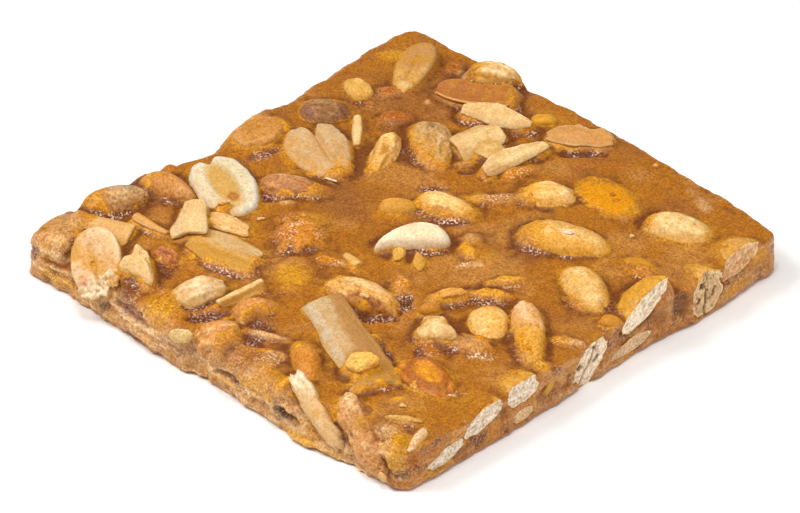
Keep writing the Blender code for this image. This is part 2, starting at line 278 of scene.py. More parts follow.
def kernelShape(lay, look, seed):
    # Whole kernel: rings along X at a cosine, girth (1 - x^2)^0.42 less towards the tip, each ring an oval
    a, b, c = lay["half"]
    along = ringCount(2.4 * a, spacing["kernel"][0], 28)
    around = ringCount(3.4 * (b + c), spacing["kernel"][1], 36)
    x = -np.cos(np.pi * (np.arange(along) + 0.5) / along)[:, None]
    turn = 2 * np.pi * np.arange(around) / around
    girth = (1 - x * x) ** 0.42 * (1 - look["taper"] * x)
    cosine, sine = np.cos(turn), np.sin(turn)
    full = (np.abs(cosine) ** fullness + np.abs(sine) ** fullness) ** (-1 / fullness)
    local = stacked(x * a, girth * full * cosine * b, girth * full * sine * c)
    local[..., 2] -= dented(local / lay["half"], look)
    if "rings" in look:
        away = np.hypot(local[..., 0] / a, local[..., 1] / b)
        local[..., 2] += 0.16 * np.cos(2 * np.pi * look["rings"][0] * away) * (sine > 0)
    return roughened(local, look, seed)


def splitShape(lay, look, seed):
    # Split kernel: a bowl up to the split plane, then a face with a rounded rim, a hollow and a germ groove.
    # The outline is an egg whose blunt end may be notched, and the face may be cut short by a crack ledge.
    a, b, c = lay["half"]
    local = lay["local"]
    widest = np.abs(local[:, 1]) > 0.97 * b
    split = local[widest, 2].mean()
    crown, keel = c - split, c + split
    around = ringCount(3.3 * (a + b), spacing["split"][1], 60)
    turn = 2 * np.pi * np.arange(around) / around
    outX, sine = np.cos(turn), np.sin(turn)
    outY = np.sign(sine) * np.abs(sine) ** look["blunt"] * (1 - look["taper"] * outX)
    torn = look["ragged"] * layered(stacked(outX * 3, outY * 3, seed), 1.0, seed, 3)
    edge = 1 + torn * smooth(outX, look["raggedFrom"], look["raggedFrom"] + 0.5)
    notch = look["notch"] * np.exp(-((outY - look["notchAt"]) / look["notchWide"]) ** 2) * (outX < 0)
    bowl = np.linspace(0.1, np.pi / 2, bowlRows)
    face = 1 - np.linspace(0.015, 1, ringCount(b, spacing["split"][0], 14)) ** 1.25 * 0.985
    radius = np.concatenate([np.sin(bowl), face])[:, None]
    x = outX * edge * radius + notch * radius ** 3
    y = outY * edge * radius
    rim = np.sqrt(np.clip(1 - face ** 7, 0, 1))[:, None] * np.ones(around)
    top = crown * rim
    faceX, faceY = x[bowlRows:], y[bowlRows:]
    inner = faceX ** 2 / look["hollowLong"] ** 2 + faceY ** 2 / look["hollowWide"] ** 2
    top -= look["hollow"] * np.clip(1 - inner, 0, 1) ** 0.7
    groove = np.exp(-((faceY - look["grooveAt"]) / 0.11) ** 2) * smooth(0.7 - np.abs(faceX), 0, 0.3)
    top -= look["groove"] * groove
    top += look["domed"] * (1 - face[:, None] ** 2)
    ledge = smooth(faceX - look["ledgeAt"] - 0.08 * noise(stacked(0, faceY, 0), 0.3, seed), 0, 0.05)
    top -= look["ledge"] * ledge
    z = np.concatenate([-keel * np.cos(bowl)[:, None] * np.ones(around), top])
    shape = stacked(x * a, y * b + look["bow"] * (x * x - 0.4), z + split)
    shape[bowlRows:, :, 2] -= dented(stacked(x, y, z)[bowlRows:], look)
    shape, marks = roughened(shape, look, seed)
    crumbled = smooth(x, look["crumbleFrom"], look["crumbleFrom"] + 0.25)
    shape += gridNormals(shape) * (crumbled * look["crumble"] * layered(shape, 1.0, seed + 15, 3))[..., None]
    onFace = {"hollow": np.clip(1.15 - inner, 0, 1), "face": np.ones(inner.shape), "ledge": ledge}
    masks = {key: np.concatenate([np.zeros((bowlRows, around)), values]) for key, values in onFace.items()}
    return shape, {**marks, **masks, "radius": radius * np.ones(around), "crumbled": crumbled}


def chunkShape(lay, look, seed):
    # Broken piece: the body inside a dozen random planes, rounded where they meet, then crumbled
    a, b, c = lay["half"]
    rows = ringCount(2.2 * (a + c), spacing["chunk"][0], 24)
    around = ringCount(3.2 * (a + b), spacing["chunk"][1], 40)
    rise = np.pi * ((np.arange(rows) + 0.5) / rows - 0.5)[:, None]
    turn = 2 * np.pi * np.arange(around) / around
    way = stacked(np.cos(rise) * np.cos(turn), np.cos(rise) * np.sin(turn), np.sin(rise))
    rng = np.random.default_rng(seed)
    planes = rng.normal(size=(look["facets"], 3))
    planes /= np.linalg.norm(planes, axis=1, keepdims=True)
    away = rng.uniform(0.62, 0.95, look["facets"])
    reach = np.clip(way @ planes.T, 0, None) / away
    body = way * ((reach ** 9).sum(-1) + 1)[..., None] ** (-1 / 9)
    for toward, extra, width in look["arms"]:
        apart = np.angle(np.exp(1j * (turn - toward)))
        body = body * (1 + extra * np.exp(-(apart / width) ** 2) * np.cos(rise) ** 2)[..., None]
    return roughened(body * lay["half"] * 1.08 * np.array(look["stretch"]), look, seed)


def profile(x, places, column):
    # Value along a strip from a few places given as shares of its length, the corners between them eased
    fine = np.linspace(-1.3, 1.3, 261)
    straight = np.interp(fine, places[:, 0], places[:, column])
    return np.interp(x, fine, np.convolve(np.pad(straight, 12, "edge"), np.ones(25) / 25, "valid"))


def shavingFit(lay):
    # Height at the middle, arch across, sag and tilt along, half width and its slope, all from the solid
    along, across = lay["local"][:, 0] / lay["half"][0], lay["local"][:, 1] / lay["half"][1]
    terms = np.stack([np.ones(len(along)), across ** 2, along ** 2, along], -1)
    rise = np.linalg.lstsq(terms, lay["local"][:, 2], rcond=None)[0]
    outer = np.abs(across) > 0.5
    slope, width = np.polyfit(along[outer], np.abs(lay["local"][outer, 1]), 1)
    return (*rise, width, slope)


def shavingShape(lay, look, seed):
    # Thin strip between two edges given along it, arched across, sagging along, edges torn, uneven thickness
    a, b = lay["half"][:2]
    flat, arch, sag, tilt, width, slope = lay["fit"] if "fit" in lay else shavingFit(lay)
    rows = ringCount(2 * a, spacing["shaving"][0], 20)
    side = ringCount(2 * b, spacing["shaving"][1], 8)
    x = (2 * (np.arange(rows) + 0.5) / rows - 1)[:, None]
    y = np.concatenate([np.linspace(-1, 1, side), [1.0], np.linspace(1, -1, side), [-1.0]])
    face = np.concatenate([np.ones(side), [0], -np.ones(side), [0]])
    bulge = np.concatenate([np.zeros(side), [0.05], np.zeros(side), [-0.05]])
    edge = 1 + look["ragged"] * layered(stacked(x * a, np.sign(y) * 3, 0), 2.2, seed, 3)
    corner = 1 - look["corner"] * smooth(np.abs(x), 0.75, 1.0) ** 2
    straight = [(end, -(width + slope * end) / b, (width + slope * end) / b) for end in (-1, 1)]
    places = np.array(look["outline"] or straight, float)
    low, high = [profile(x, places, column) * corner for column in (1, 2)]
    across = (low + (high - low) * (y + bulge + 1) / 2) * edge
    end = 1 + look["ragged"] * 0.5 * noise(stacked(0, y * b, np.sign(x) * 5), 1.6, seed + 5)
    thick = look["thick"] * (0.9 - 0.35 * y * y) * smooth(1.0 - np.abs(x), -0.02, 0.06)
    z = flat + (arch + look["cup"]) * np.minimum(across ** 2, 1.4) + sag * x * x + tilt * x + face * thick
    z = z + look["wave"] * noise(stacked(x * a, y * b, 0), 3.0, seed + 9)
    shape, marks = roughened(stacked(x * end * a * look["reach"], across * b, z), look, seed)
    return shape, {**marks, "radius": np.abs(y) * np.ones((rows, 1)), "across": y * np.ones((rows, 1))}


def sawnShape(lay, look, seed):
    # Sawn kernel: half an egg from its inner pole out to the saw's plane, then the cut face to its middle
    points = placed(lay["local"], lay)
    plane = points[:, 0].max()
    rim = points[points[:, 0] > plane - 0.02]
    depth = plane - points[:, 0].min()
    middle = (rim.min(0) + rim.max(0)) / 2
    flatRim = rim[:, 1:] - middle[1:]
    _, turned = np.linalg.eigh(flatRim.T @ flatRim)
    long, short = turned[:, 1], turned[:, 0]
    long = long * np.sign(long[0])
    short = np.array([-long[1], long[0]])
    half = np.abs(flatRim @ np.array([long, short]).T).max(0)
    around = ringCount(3.6 * half.sum(), spacing["sawn"][1], 48)
    turn = 2 * np.pi * np.arange(around) / around
    cosine, sine, power = np.cos(turn), np.sin(turn), look["square"]
    wobble = 1 + look["ragged"] * layered(stacked(cosine * 2, sine * 2, seed), 1.1, seed, 3)
    full = (np.abs(cosine) ** power + np.abs(sine) ** power) ** (-1 / power)
    outY = cosine * full * half[0] * wobble
    outZ = sine * full * half[1] * wobble
    body = np.linspace(0.12, np.pi / 2, bodyRows)
    face = np.linspace(0.985, 0.02, ringCount(half.min(), spacing["sawn"][0], 12))
    radius = np.concatenate([np.sin(body), face])[:, None]
    back = np.concatenate([-depth * np.cos(body), np.zeros(len(face))])[:, None]
    onFace = np.concatenate([np.zeros(bodyRows), np.ones(len(face))])[:, None]
    along, rise = outY * radius, outZ * radius
    relief = look["relief"] * layered(stacked(0, along, rise), 1.6, seed + 4, 3)
    back = back + np.where(radius < 1, relief, 0) * onFace
    cracks = np.zeros_like(along)
    for at, lean, wide, deep in look["cracks"]:
        line = rise / half[1] - at - lean * along / half[0]
        line = line + 0.12 * noise(stacked(along, 0, 0), 1.1, seed + 6)
        cracks = np.maximum(cracks, np.exp(-(line / wide) ** 2) * deep)
    for at, up, wide, tall in look["holes"]:
        away = np.maximum(np.abs(along / half[0] - at) / wide, np.abs(rise / half[1] - up) / tall)
        cracks = np.maximum(cracks, smooth(1.25 - away, 0, 0.5) * 0.8)
    cracks[:bodyRows] = 0
    back = back - cracks
    y = middle[1] + along * long[0] + rise * short[0]
    z = middle[2] + along * long[1] + rise * short[1]
    world = stacked(plane + back, y, z)
    grained = layered(world, 1.4, seed + 8, 3)
    pitted = smooth(0.4 - pores(world, look["pitSize"], seed + 3), 0, 0.25)
    cut = onFace * np.ones(around)
    world[..., 0] -= cut * pitted * look["pits"]
    world += (1 - cut)[..., None] * gridNormals(world) * (0.12 * grained)[..., None]
    return world, {"pit": pitted * cut, "cut": cut, "radius": radius * np.ones(around), "crack": cracks}


class Wire:
    # A socket that adds Math nodes when it is used in arithmetic: the operators are set below
    def __init__(self, nodes, socket):
        self.nodes, self.socket = nodes, socket

    def math(self, operation, other, turned=False):
        pair = (other, self) if turned else (self, other)
        return self.nodes.add("ShaderNodeMath", {"operation": operation}, dict(enumerate(pair)))


for sign, operation in {"add": "ADD", "sub": "SUBTRACT", "mul": "MULTIPLY"}.items():
    setattr(Wire, f"__{sign}__", lambda self, other, how=operation: self.math(how, other))
    setattr(Wire, f"__r{sign}__", lambda self, other, how=operation: self.math(how, other, True))


class Nodes:
    # A material's node tree, with one method that adds any node
    def __init__(self, name):
        self.material = bpy.data.materials.new(name)
        self.material.use_nodes = True
        self.tree = self.material.node_tree
        self.shader = self.tree.nodes["Principled BSDF"]

    def join(self, value, socket):
        if isinstance(value, Wire):
            self.tree.links.new(value.socket, socket)
        else:
            socket.default_value = value

    def add(self, kind, settings=None, sockets=None, out=0):
        node = self.tree.nodes.new(kind)
        for key, value in (settings or {}).items():
            setattr(node, key, value)
        for key, value in (sockets or {}).items():
            self.join(value, node.inputs[key])
        return Wire(self, node.outputs[out])

    def attribute(self, name, out=2):
        return self.add("ShaderNodeAttribute", {"attribute_name": name}, out=out)

    def tinted(self, colour, how, socket, value):
        # A colour times another colour, or scaled by a number
        return self.add("ShaderNodeVectorMath", {"operation": how}, {0: colour, socket: value})

    def mixed(self, factor, first, second):
        return self.add("ShaderNodeMix", {"data_type": "RGBA"}, {0: factor, 6: first, 7: second}, 2)

    def finish(self, sockets):
        for key, value in sockets.items():
            self.join(value, self.shader.inputs[key])
        return self.material


# Finishes: grain, mottle and holes are noise scales per metre, the speck and sparkle share is how strong the
# grain shows in the colour, its paler specks partly painted sparkle, fine and second what the grain and the
# second relief add to the bump, filmShine what the film takes off the roughness, inner the share of light
# that spreads inside, and glint the tone of the pale glints painted on gritty caramel
kernelFinish = dict(
    grain=2400.0, mottle=900.0, speckAndSparkle=0.12, bump=0.45, roughness=0.68, fine=0.8, second=0.6, relief="mottle",
    filmShine=0.2, coat=0.08, inner=0.1, innerColour=(1.0, 0.6, 0.3), innerReach=0.001, bend=1.45, gloss=0.18)
finishes = {
    "kernel_cream": kernelFinish,
    "kernel_golden": dict(kernelFinish, speckAndSparkle=0.2, bump=0.5, roughness=0.6),
    "kernel_toasted": dict(kernelFinish, grain=2200.0, speckAndSparkle=0.22, bump=0.7, roughness=0.6),
    "kernel_cream_sawn": dict(
        kernelFinish, grain=2200.0, speckAndSparkle=0.2, bump=0.6, roughness=0.75, second=0.5, relief="holes",
        holes=1700.0, filmShine=0.3, coat=0.1, inner=0.08, gloss=0.3),
    "coconut": dict(
        kernelFinish, grain=2600.0, speckAndSparkle=0.14, roughness=0.6, fine=1.0, second=0.7, relief="fibre",
        filmShine=0.18, coat=0.12, inner=0.25, innerReach=0.0015, gloss=0.35),
    "caramel": dict(
        kernelFinish, grain=2500.0, speckAndSparkle=0.27, bump=0.6, roughness=0.38, inner=0.2,
        innerColour=(1.0, 0.5, 0.15), innerReach=0.0015, bend=1.49, glint=(255, 222, 200)),
}


def foodMaterial(name, finish):
    # The painted tint, darker and lighter by a fine grain and a coarser mottle, which also raise the surface;
    # the paler, whiter specks partly stand for painted sparkle. Caramel has pale glints painted into its
    # colour, and more bump, where it is gritty. Nuts are satin where the film of caramel lies, a cut has small
    # holes, and a shaving has fibres along it, from its own attribute.
    nodes = Nodes(name)
    place = nodes.add("ShaderNodeTexCoord", out=3)
    tint = nodes.attribute("tint", 0)
    fine = nodes.add("ShaderNodeTexNoise", {}, {"Vector": place, "Scale": finish["grain"], "Detail": 2.0})
    coarse = nodes.add("ShaderNodeTexNoise", {}, {"Vector": place, "Scale": finish["mottle"], "Detail": 3.0})
    # Grain speckle: the paler, whiter specks partly stand for painted sparkle
    share = finish["speckAndSparkle"]
    dark = nodes.tinted(tint, "MULTIPLY", 1, (1 - 0.9 * share, 1 - 1.2 * share, 1 - 1.5 * share))
    pale = nodes.tinted(tint, "MULTIPLY", 1, (1 + share, 1 + 1.2 * share, 1 + 1.7 * share))
    light = nodes.add("ShaderNodeMapRange", {}, {"Value": fine * 0.8 + coarse * 0.2, 1: 0.38, 2: 0.62})
    colour = nodes.mixed(light, dark, pale)
    if "glint" in finish:
        # Painted glints: a pale colour mixed in where the grain peaks on gritty caramel
        gritAndGlint = nodes.attribute("gritAndGlint")
        glint = nodes.add("ShaderNodeMapRange", {}, {"Value": fine, 1: 0.53, 2: 0.62, 3: 0.0, 4: 1.0})
        colour = nodes.mixed(glint * gritAndGlint * 0.8, colour, (*linear(finish["glint"]), 1))
        height = fine * (0.5 + gritAndGlint * 1.0) + coarse * 0.9
        rough = finish["roughness"] + (coarse - 0.5) * 0.4 - gritAndGlint * 0.1
        coat = 0.0
    else:
        film = nodes.attribute("film")
        second = coarse
        if finish["relief"] == "holes":
            second = nodes.add("ShaderNodeTexVoronoi", {}, {"Vector": place, "Scale": finish["holes"]})
        if finish["relief"] == "fibre":
            second = nodes.attribute("fibre")
            light = nodes.add("ShaderNodeMapRange", {}, {"Value": second, 1: 0.2, 2: 0.8, 3: 0.93, 4: 1.07})
            colour = nodes.tinted(colour, "SCALE", 3, light)
        height = fine * finish["fine"] + second * finish["second"]
        rough = finish["roughness"] - film * finish["filmShine"]
        coat = film * finish["coat"]
    bump = nodes.add("ShaderNodeBump", {}, {"Strength": finish["bump"], "Distance": 0.0002, "Height": height})
    return nodes.finish({
        "Base Color": colour, "Roughness": rough, "Normal": bump, "Coat Weight": coat, "Coat Roughness": 0.3,
        "Subsurface Weight": finish["inner"], "Subsurface Radius": finish["innerColour"],
        "Subsurface Scale": finish["innerReach"], "IOR": finish["bend"],
        "Specular IOR Level": finish["gloss"]})


materials = {name: foodMaterial(name, finish) for name, finish in finishes.items()}
print("finishes made")


# How each piece looks: nutLook holds for all, each kind adds its own, and each piece gives what differs.
# coated: way along and across, and the share at which the caramel runs over it. patches: place, half sizes,
# tone and share, all as shares of the half length and width. Other lengths are millimetres.
# The film on a nut's sides darkens them to the film's tone as painted shade, up-facing tops are lightened as a
# painted highlight, and the relief's hollows are darkened as painted shade and its crests lightened as a
# painted highlight
nutLook = dict(taper=0.12, lumps=0.16, wrinkles=0.07, grain=0.03, pits=0.06, pitSize=1.1,
    bare=(238, 194, 126), second=(216, 156, 86), secondSize=3.0, secondShare=0.5, pitTone=(160, 104, 56),
    pitShade=0.5, film=0.1, filmHigh=1.4, filmTone=(204, 142, 16), cover=0.5, soft=1.5, coated=[],
    patches=[], light=0.93, cavity=0.45, drained=0.45, crest=0.2)

kernelLook = dict(nutLook, cover=0.7)
goldenLook = dict(kernelLook, bare=(248, 216, 150), second=(232, 174, 92), secondShare=0.6, filmHigh=1.9,
    filmTone=(222, 154, 36), drained=0.55, crest=0.35)
kernelLooks = {
    "kernel_long_gold": dict(goldenLook, wrinkles=0.1, film=0.08, cover=0.55,
        coated=[(-0.95, -0.4, 0.55)], patches=[(-0.9, 0.0, 0.5, 1.2, (226, 160, 48), 0.9),
        (0.1, -0.1, 0.16, 0.22, (252, 232, 204), 1.0), (0.1, -0.9, 1.2, 0.5, (228, 162, 52), 0.8)],
        light=0.78),
    "kernel_right_cream": dict(wrinkles=0.12, bare=(246, 222, 162), second=(232, 192, 124), film=0.05,
        filmHigh=1.5, filmTone=(222, 154, 36), cover=0.75, coated=[(-1, 0, 0.8)],
        patches=[(-0.95, 0.0, 0.3, 1.0, (232, 176, 80), 0.8),
        (0.86, -0.1, 0.14, 0.3, (176, 122, 70), 0.8)], light=0.8, drained=0.55, crest=0.3),
    # Its pale patch is a painted highlight
    "kernel_gold_oval": dict(goldenLook, lumps=0.1, pits=0.04, pitShade=0.25, film=0.15,
        coated=[(0.5, -0.9, 1.0)], patches=[(0.62, -0.1, 0.3, 0.5, (252, 216, 156), 0.8)], light=0.78,
        cavity=0.15, dents=[(0.93, 0.35, 0.14, 0.9)]),
    "kernel_back_gold": dict(goldenLook, wrinkles=0.1, cover=0.6, coated=[(-0.9, -0.3, 0.55)],
        patches=[(0.75, 0.0, 0.35, 0.8, (250, 222, 172), 0.9),
        (-0.9, 0.0, 0.5, 1.2, (228, 164, 50), 0.8)], light=0.97, dents=[(0.92, 0.1, 0.18, 0.5)]),
    "kernel_round_gold": dict(goldenLook, pits=0.1, pitSize=0.8, pitTone=(222, 140, 48), pitShade=0.8,
        film=0.25, coated=[(0, 1, 0.75), (-1, 0, 0.8)]),
    # Its dark patch on the -Y side is painted shade
    "kernel_centre_gold": dict(goldenLook, lumps=0.1, cover=0.6, coated=[(0.8, 0.2, 0.5),
        (-0.2, -1, 0.7)], patches=[(-0.35, 0.5, 0.6, 0.4, (244, 210, 160), 0.8),
        (0.3, -0.8, 0.7, 0.35, (150, 72, 20), 0.8)]),
    "kernel_streaky": dict(wrinkles=0.22, bare=(236, 178, 96), second=(246, 208, 146), secondSize=1.6,
        film=0.2, filmTone=(200, 132, 40), cover=1.0, coated=[(-0.7, 0.7, 0.9)],
        patches=[(0.5, -0.85, 0.75, 0.5, (124, 60, 34), 0.95),
        (-0.1, 0.3, 0.9, 0.35, (246, 212, 150), 0.7)], light=0.95, cavity=0.75),
    "kernel_ringed": dict(wrinkles=0.3, bare=(226, 150, 60), second=(198, 116, 44), film=0.2,
        filmHigh=2.0, filmTone=(176, 100, 24), cover=0.6, coated=[(0, -1, 0.85)],
        patches=[(0.05, 0.0, 0.4, 0.36, (232, 158, 30), 1.0)], light=1.05, cavity=0.9,
        rings=(1.7, (128, 66, 24), 0.75)),
    "kernel_front_brown": dict(pits=0.16, pitSize=0.7, bare=(218, 146, 60), second=(190, 114, 42),
        secondSize=1.4, pitTone=(148, 80, 36), film=0.3, filmTone=(198, 124, 30), coated=[(-1, 0, 0.5)],
        patches=[(-0.6, 0.3, 0.5, 0.5, (228, 160, 80), 0.7)], cavity=0.75),
    # Its dark patch on the +Y side is a painted shadow on its shaded face
    "kernel_front_leaning": dict(lumps=0.7, wrinkles=0.26, pits=0.3, pitSize=0.8, bare=(234, 190, 132),
        second=(210, 152, 90), secondSize=1.5, pitTone=(186, 112, 62), pitShade=0.7, film=0.05,
        filmTone=(198, 132, 66), cover=0.95, patches=[(0.1, 0.9, 1.4, 0.45, (112, 52, 28), 1.0)],
        light=0.9, cavity=1.0, drained=0.2),
    "kernel_low_brown": dict(lumps=0.3, pits=0.14, pitSize=0.8, bare=(224, 158, 84),
        second=(200, 124, 62), secondSize=1.6, film=0.2, filmTone=(196, 126, 54), coated=[(0, -1, 0.4)],
        cavity=0.75),
    "kernel_low_ridged": dict(lumps=0.5, wrinkles=0.3, pits=0.1, bare=(220, 156, 84),
        second=(246, 206, 150), secondSize=1.2, secondShare=0.55, film=0.25, filmTone=(198, 130, 54),
        coated=[(0, -1, 0.4)], cavity=0.75),
    "kernel_low_cream": dict(lumps=0.25, wrinkles=0.22, pits=0.14, pitSize=0.7, bare=(246, 216, 166),
        second=(208, 154, 98), secondSize=1.5, pitTone=(200, 146, 92), film=0.05, light=0.9, cavity=0.9),
    "kernel_red_stub": dict(lumps=0.3, wrinkles=0.2, pits=0.16, pitSize=0.7, bare=(208, 132, 62),
        second=(160, 92, 60), secondSize=1.2, pitTone=(110, 58, 50), film=0.2, filmTone=(170, 100, 44),
        cover=0.8, coated=[(0, -1, 0.6)], light=0.98, cavity=0.9),
    "kernel_edge_porous": dict(pits=0.34, pitSize=0.7, bare=(214, 172, 116), second=(196, 128, 62),
        pitTone=(132, 108, 84), pitShade=0.9, filmTone=(188, 128, 62), coated=[(-1, 0, 0.4)],
        patches=[(-0.8, 0.0, 0.5, 1.4, (196, 132, 58), 0.8), (0.35, 0.5, 0.6, 0.6, (176, 156, 126), 0.8)],
        cavity=0.75),
    "kernel_edge_smooth": dict(lumps=0.2, bare=(218, 154, 84), second=(196, 126, 60), film=0.25,
        filmTone=(196, 128, 50), coated=[(-1, 0.3, 0.2)],
        patches=[(0.7, -0.3, 0.35, 0.6, (232, 176, 122), 0.8)]),
    "kernel_middle_brown": dict(wrinkles=0.22, pits=0.2, pitSize=0.7, bare=(206, 150, 96),
        second=(176, 110, 64), secondSize=1.4, pitTone=(120, 68, 52), film=0.15, filmTone=(174, 108, 50),
        coated=[(0.9, -0.4, 0.3)], patches=[(-0.35, 0.75, 0.85, 0.4, (240, 200, 150), 0.9)], cavity=0.9),
    "kernel_dark": dict(wrinkles=0.16, pits=0.22, pitSize=0.8, bare=(156, 108, 60),
        second=(190, 152, 112), secondSize=1.3, pitTone=(94, 52, 46), pitShade=0.8, film=0.2,
        filmTone=(150, 100, 54), cover=0.8, coated=[(0, 1, 0.5)],
        patches=[(0.1, 0.5, 0.6, 0.5, (186, 146, 84), 0.7), (0.75, 0.1, 0.35, 0.9, (126, 76, 62), 0.9),
        (-0.75, -0.4, 0.3, 0.6, (136, 86, 74), 0.9), (0.35, 0.75, 0.12, 0.15, (52, 36, 30), 1.0)],
        cavity=0.9),
    "kernel_wrinkled": dict(wrinkles=0.34, pits=0.3, pitSize=0.6, bare=(236, 200, 144),
        second=(206, 156, 104), secondSize=2.0, pitTone=(128, 96, 62), pitShade=0.9, film=0.08,
        filmHigh=1.6, filmTone=(214, 150, 60), cover=0.8, coated=[(0.3, -1, 0.3), (1, 0, 0.8)],
        patches=[(0.75, 0.0, 0.35, 1.2, (232, 180, 90), 0.6), (0.0, -1.0, 1.2, 0.4, (222, 166, 72), 0.8)],
        light=0.62, cavity=1.0),
    "kernel_porous": dict(lumps=0.25, wrinkles=0.3, pits=0.3, pitSize=0.55, bare=(250, 212, 146),
        second=(232, 172, 88), pitTone=(146, 88, 40), pitShade=0.9, filmHigh=1.6, filmTone=(222, 154, 48),
        coated=[(1, 0, 0.95)], patches=[(0.85, 0.0, 0.25, 1.0, (236, 174, 70), 0.8)], light=0.9,
        cavity=1.0),
    "kernel_back_edge": dict(wrinkles=0.28, bare=(246, 216, 166), second=(226, 178, 112), secondSize=1.3,
        cover=0.5, coated=[(-1, 0, 0.4)], patches=[(-0.85, 0.0, 0.5, 1.2, (226, 160, 58), 0.8)],
        cavity=0.7),
}

splitLook = dict(nutLook, taper=0.1, bow=0.0, groove=0.0, grooveAt=0.0, lumps=0.08, wrinkles=0.03,
    pits=0.03, secondShare=0.35, film=0.02, filmHigh=0.9, blunt=0.86, ragged=0.05, raggedFrom=-2.0,
    notch=0.0, notchAt=0.0, notchWide=0.2, hollow=0.0, hollowLong=0.66, hollowWide=0.5, hollowTone=None,
    domed=0.0, ledge=0.0, ledgeAt=2.0, crumble=0.5, crumbleFrom=2.0, crumbTone=(246, 226, 188),
    ledgeTone=None, rimTone=(250, 228, 186), rimShare=0.5)
splitLooks = {
    "half_cream": dict(taper=0.02, bare=(247, 226, 180), second=(238, 204, 150), secondShare=0.25,
        pitShade=0.2, filmTone=(220, 166, 84), cover=1.15,
        patches=[(0.42, 0.02, 0.16, 0.18, (178, 100, 28), 0.9)], light=0.68, drained=0.15, ragged=0.03,
        notch=0.2, notchAt=0.05, hollow=0.6, hollowLong=0.85, hollowWide=0.45, hollowTone=(226, 174, 84),
        rimTone=(252, 240, 212), rimShare=0.9),
    "half_heart": dict(taper=0.2, groove=0.6, grooveAt=0.16, bare=(236, 194, 138), second=(214, 156, 96),
        secondShare=0.45, pitShade=0.2, film=0.06, filmTone=(216, 152, 60), cover=0.7,
        coated=[(1, 0, 0.72)], patches=[(0.95, 0.45, 0.12, 0.3, (255, 244, 226), 0.9)], light=0.64,
        cavity=0.1, notch=0.6, notchAt=0.2, notchWide=0.16, hollow=0.2, domed=0.5,
        rimTone=(252, 232, 194)),
    "half_pink": dict(taper=0.05, groove=0.35, grooveAt=-0.1, bare=(232, 186, 136),
        second=(222, 172, 122), cover=0.95, patches=[(0.5, -0.6, 0.18, 0.2, (196, 120, 74), 0.5)],
        light=0.9, ragged=0.12, raggedFrom=0.2, hollow=0.25, ledge=0.2, ledgeAt=0.55, crumble=0.8,
        crumbleFrom=0.35, rimTone=(246, 214, 166)),
    "half_yellow": dict(bare=(214, 138, 8), second=(224, 154, 20), pitShade=0.0, film=0.6, filmHigh=1.6,
        filmTone=(214, 140, 10), cover=0.35, coated=[(-1, 0, 0.8), (1, 0, 0.75)],
        patches=[(0.25, 0.02, 0.11, 0.2, (128, 58, 14), 1.0),
        (-0.42, 0.25, 0.08, 0.13, (176, 96, 18), 0.8)], light=1.0, cavity=0.0, domed=0.35,
        rimTone=(206, 132, 10)),
    "half_tan": dict(taper=0.28, groove=0.25, bare=(222, 170, 100), second=(190, 142, 92), secondSize=1.6,
        cover=0.75, coated=[(1, 0.3, 1.0)], patches=[(-0.5, 0, 0.6, 1.2, (188, 134, 80), 0.8),
        (0.9, 0, 0.3, 0.6, (240, 206, 148), 0.8)], light=0.83, blunt=0.95, hollow=0.15,
        rimTone=(222, 180, 126)),
    "half_amber": dict(wrinkles=0.12, bare=(220, 160, 86), second=(196, 126, 60), film=0.35,
        filmTone=(188, 124, 46), cover=0.7, coated=[(1, 0, 0.8)], light=0.9, hollow=0.4, hollowLong=0.8,
        hollowWide=0.7, rimTone=(240, 190, 120)),
    "half_cracked": dict(taper=0.05, lumps=0.12, bare=(236, 190, 142), second=(214, 150, 92), film=0.1,
        filmHigh=1.8, filmTone=(214, 148, 40), cover=0.4, coated=[(1, -0.4, 0.55)], light=0.98, domed=0.7,
        ledge=0.55, ledgeAt=-0.08, ledgeTone=(226, 168, 72), rimTone=(244, 210, 164)),
    "half_bean": dict(taper=-0.52, bow=-1.5, lumps=0.03, wrinkles=0.05, bare=(243, 222, 182),
        second=(228, 196, 148), secondSize=1.4, secondShare=0.5, pitShade=0.1, filmHigh=0.5, cover=0.6,
        light=0.96, ragged=0.0, domed=0.6, rimTone=(252, 238, 212)),
    "half_front_strip": dict(taper=0.02, bow=0.5, wrinkles=0.16, bare=(246, 222, 178),
        second=(238, 204, 152), film=0.0, filmTone=(216, 164, 92),
        patches=[(0.12, 0.0, 0.12, 0.4, (220, 154, 48), 0.9)], light=0.86, cavity=0.6, drained=0.1,
        blunt=0.5, ragged=0.12, domed=0.5, rimTone=(252, 236, 200)),
}

chunkLook = dict(nutLook, lumps=0.12, grain=0.05, pits=0.1, pitSize=0.7, pitShade=0.2, film=0.02,
    filmHigh=0.8, stretch=(1, 1, 1), arms=[], facets=12)
chunkLooks = {
    "chunk_cream": dict(bare=(243, 205, 144), second=(222, 170, 104), cover=0.9, light=0.92, drained=0.5,
        stretch=(0.85, 0.85, 0.9), arms=[(0.0, 0.75, 0.4), (1.8, 0.5, 0.4), (3.47, 0.85, 0.35)],
        facets=7),
    "chunk_wedge": dict(bare=(248, 212, 150), second=(222, 164, 96), secondSize=2.0, secondShare=0.7,
        cover=0.6, light=0.92, cavity=0.9, arms=[(0.56, 0.35, 0.4), (4.12, 0.9, 0.35), (1.6, 0.3, 0.4)],
        facets=7),
    "chunk_ridge": dict(bare=(228, 160, 84), second=(240, 196, 132), film=0.2, coated=[(1, 0, 0.4)],
        cavity=0.75),
    "chunk_on_shaving": dict(pits=0.3, bare=(243, 192, 98), second=(228, 164, 62), film=0.1, filmHigh=0.4,
        filmTone=(214, 146, 30), cover=1.1, light=0.92, cavity=0.75, stretch=(1.1, 1.4, 1.6),
        arms=[(0.5, 0.2, 0.4), (3.6, 0.2, 0.5)], facets=14),
    "chunk_chip": dict(pits=0.2, bare=(242, 198, 132), second=(214, 150, 84), secondSize=1.2, cover=0.9,
        light=0.92, cavity=0.75, stretch=(1, 1.6, 1), arms=[(0.5, 0.3, 0.4), (2.6, 0.3, 0.4),
        (3.7, 0.25, 0.4), (5.8, 0.3, 0.4)], facets=8),
}

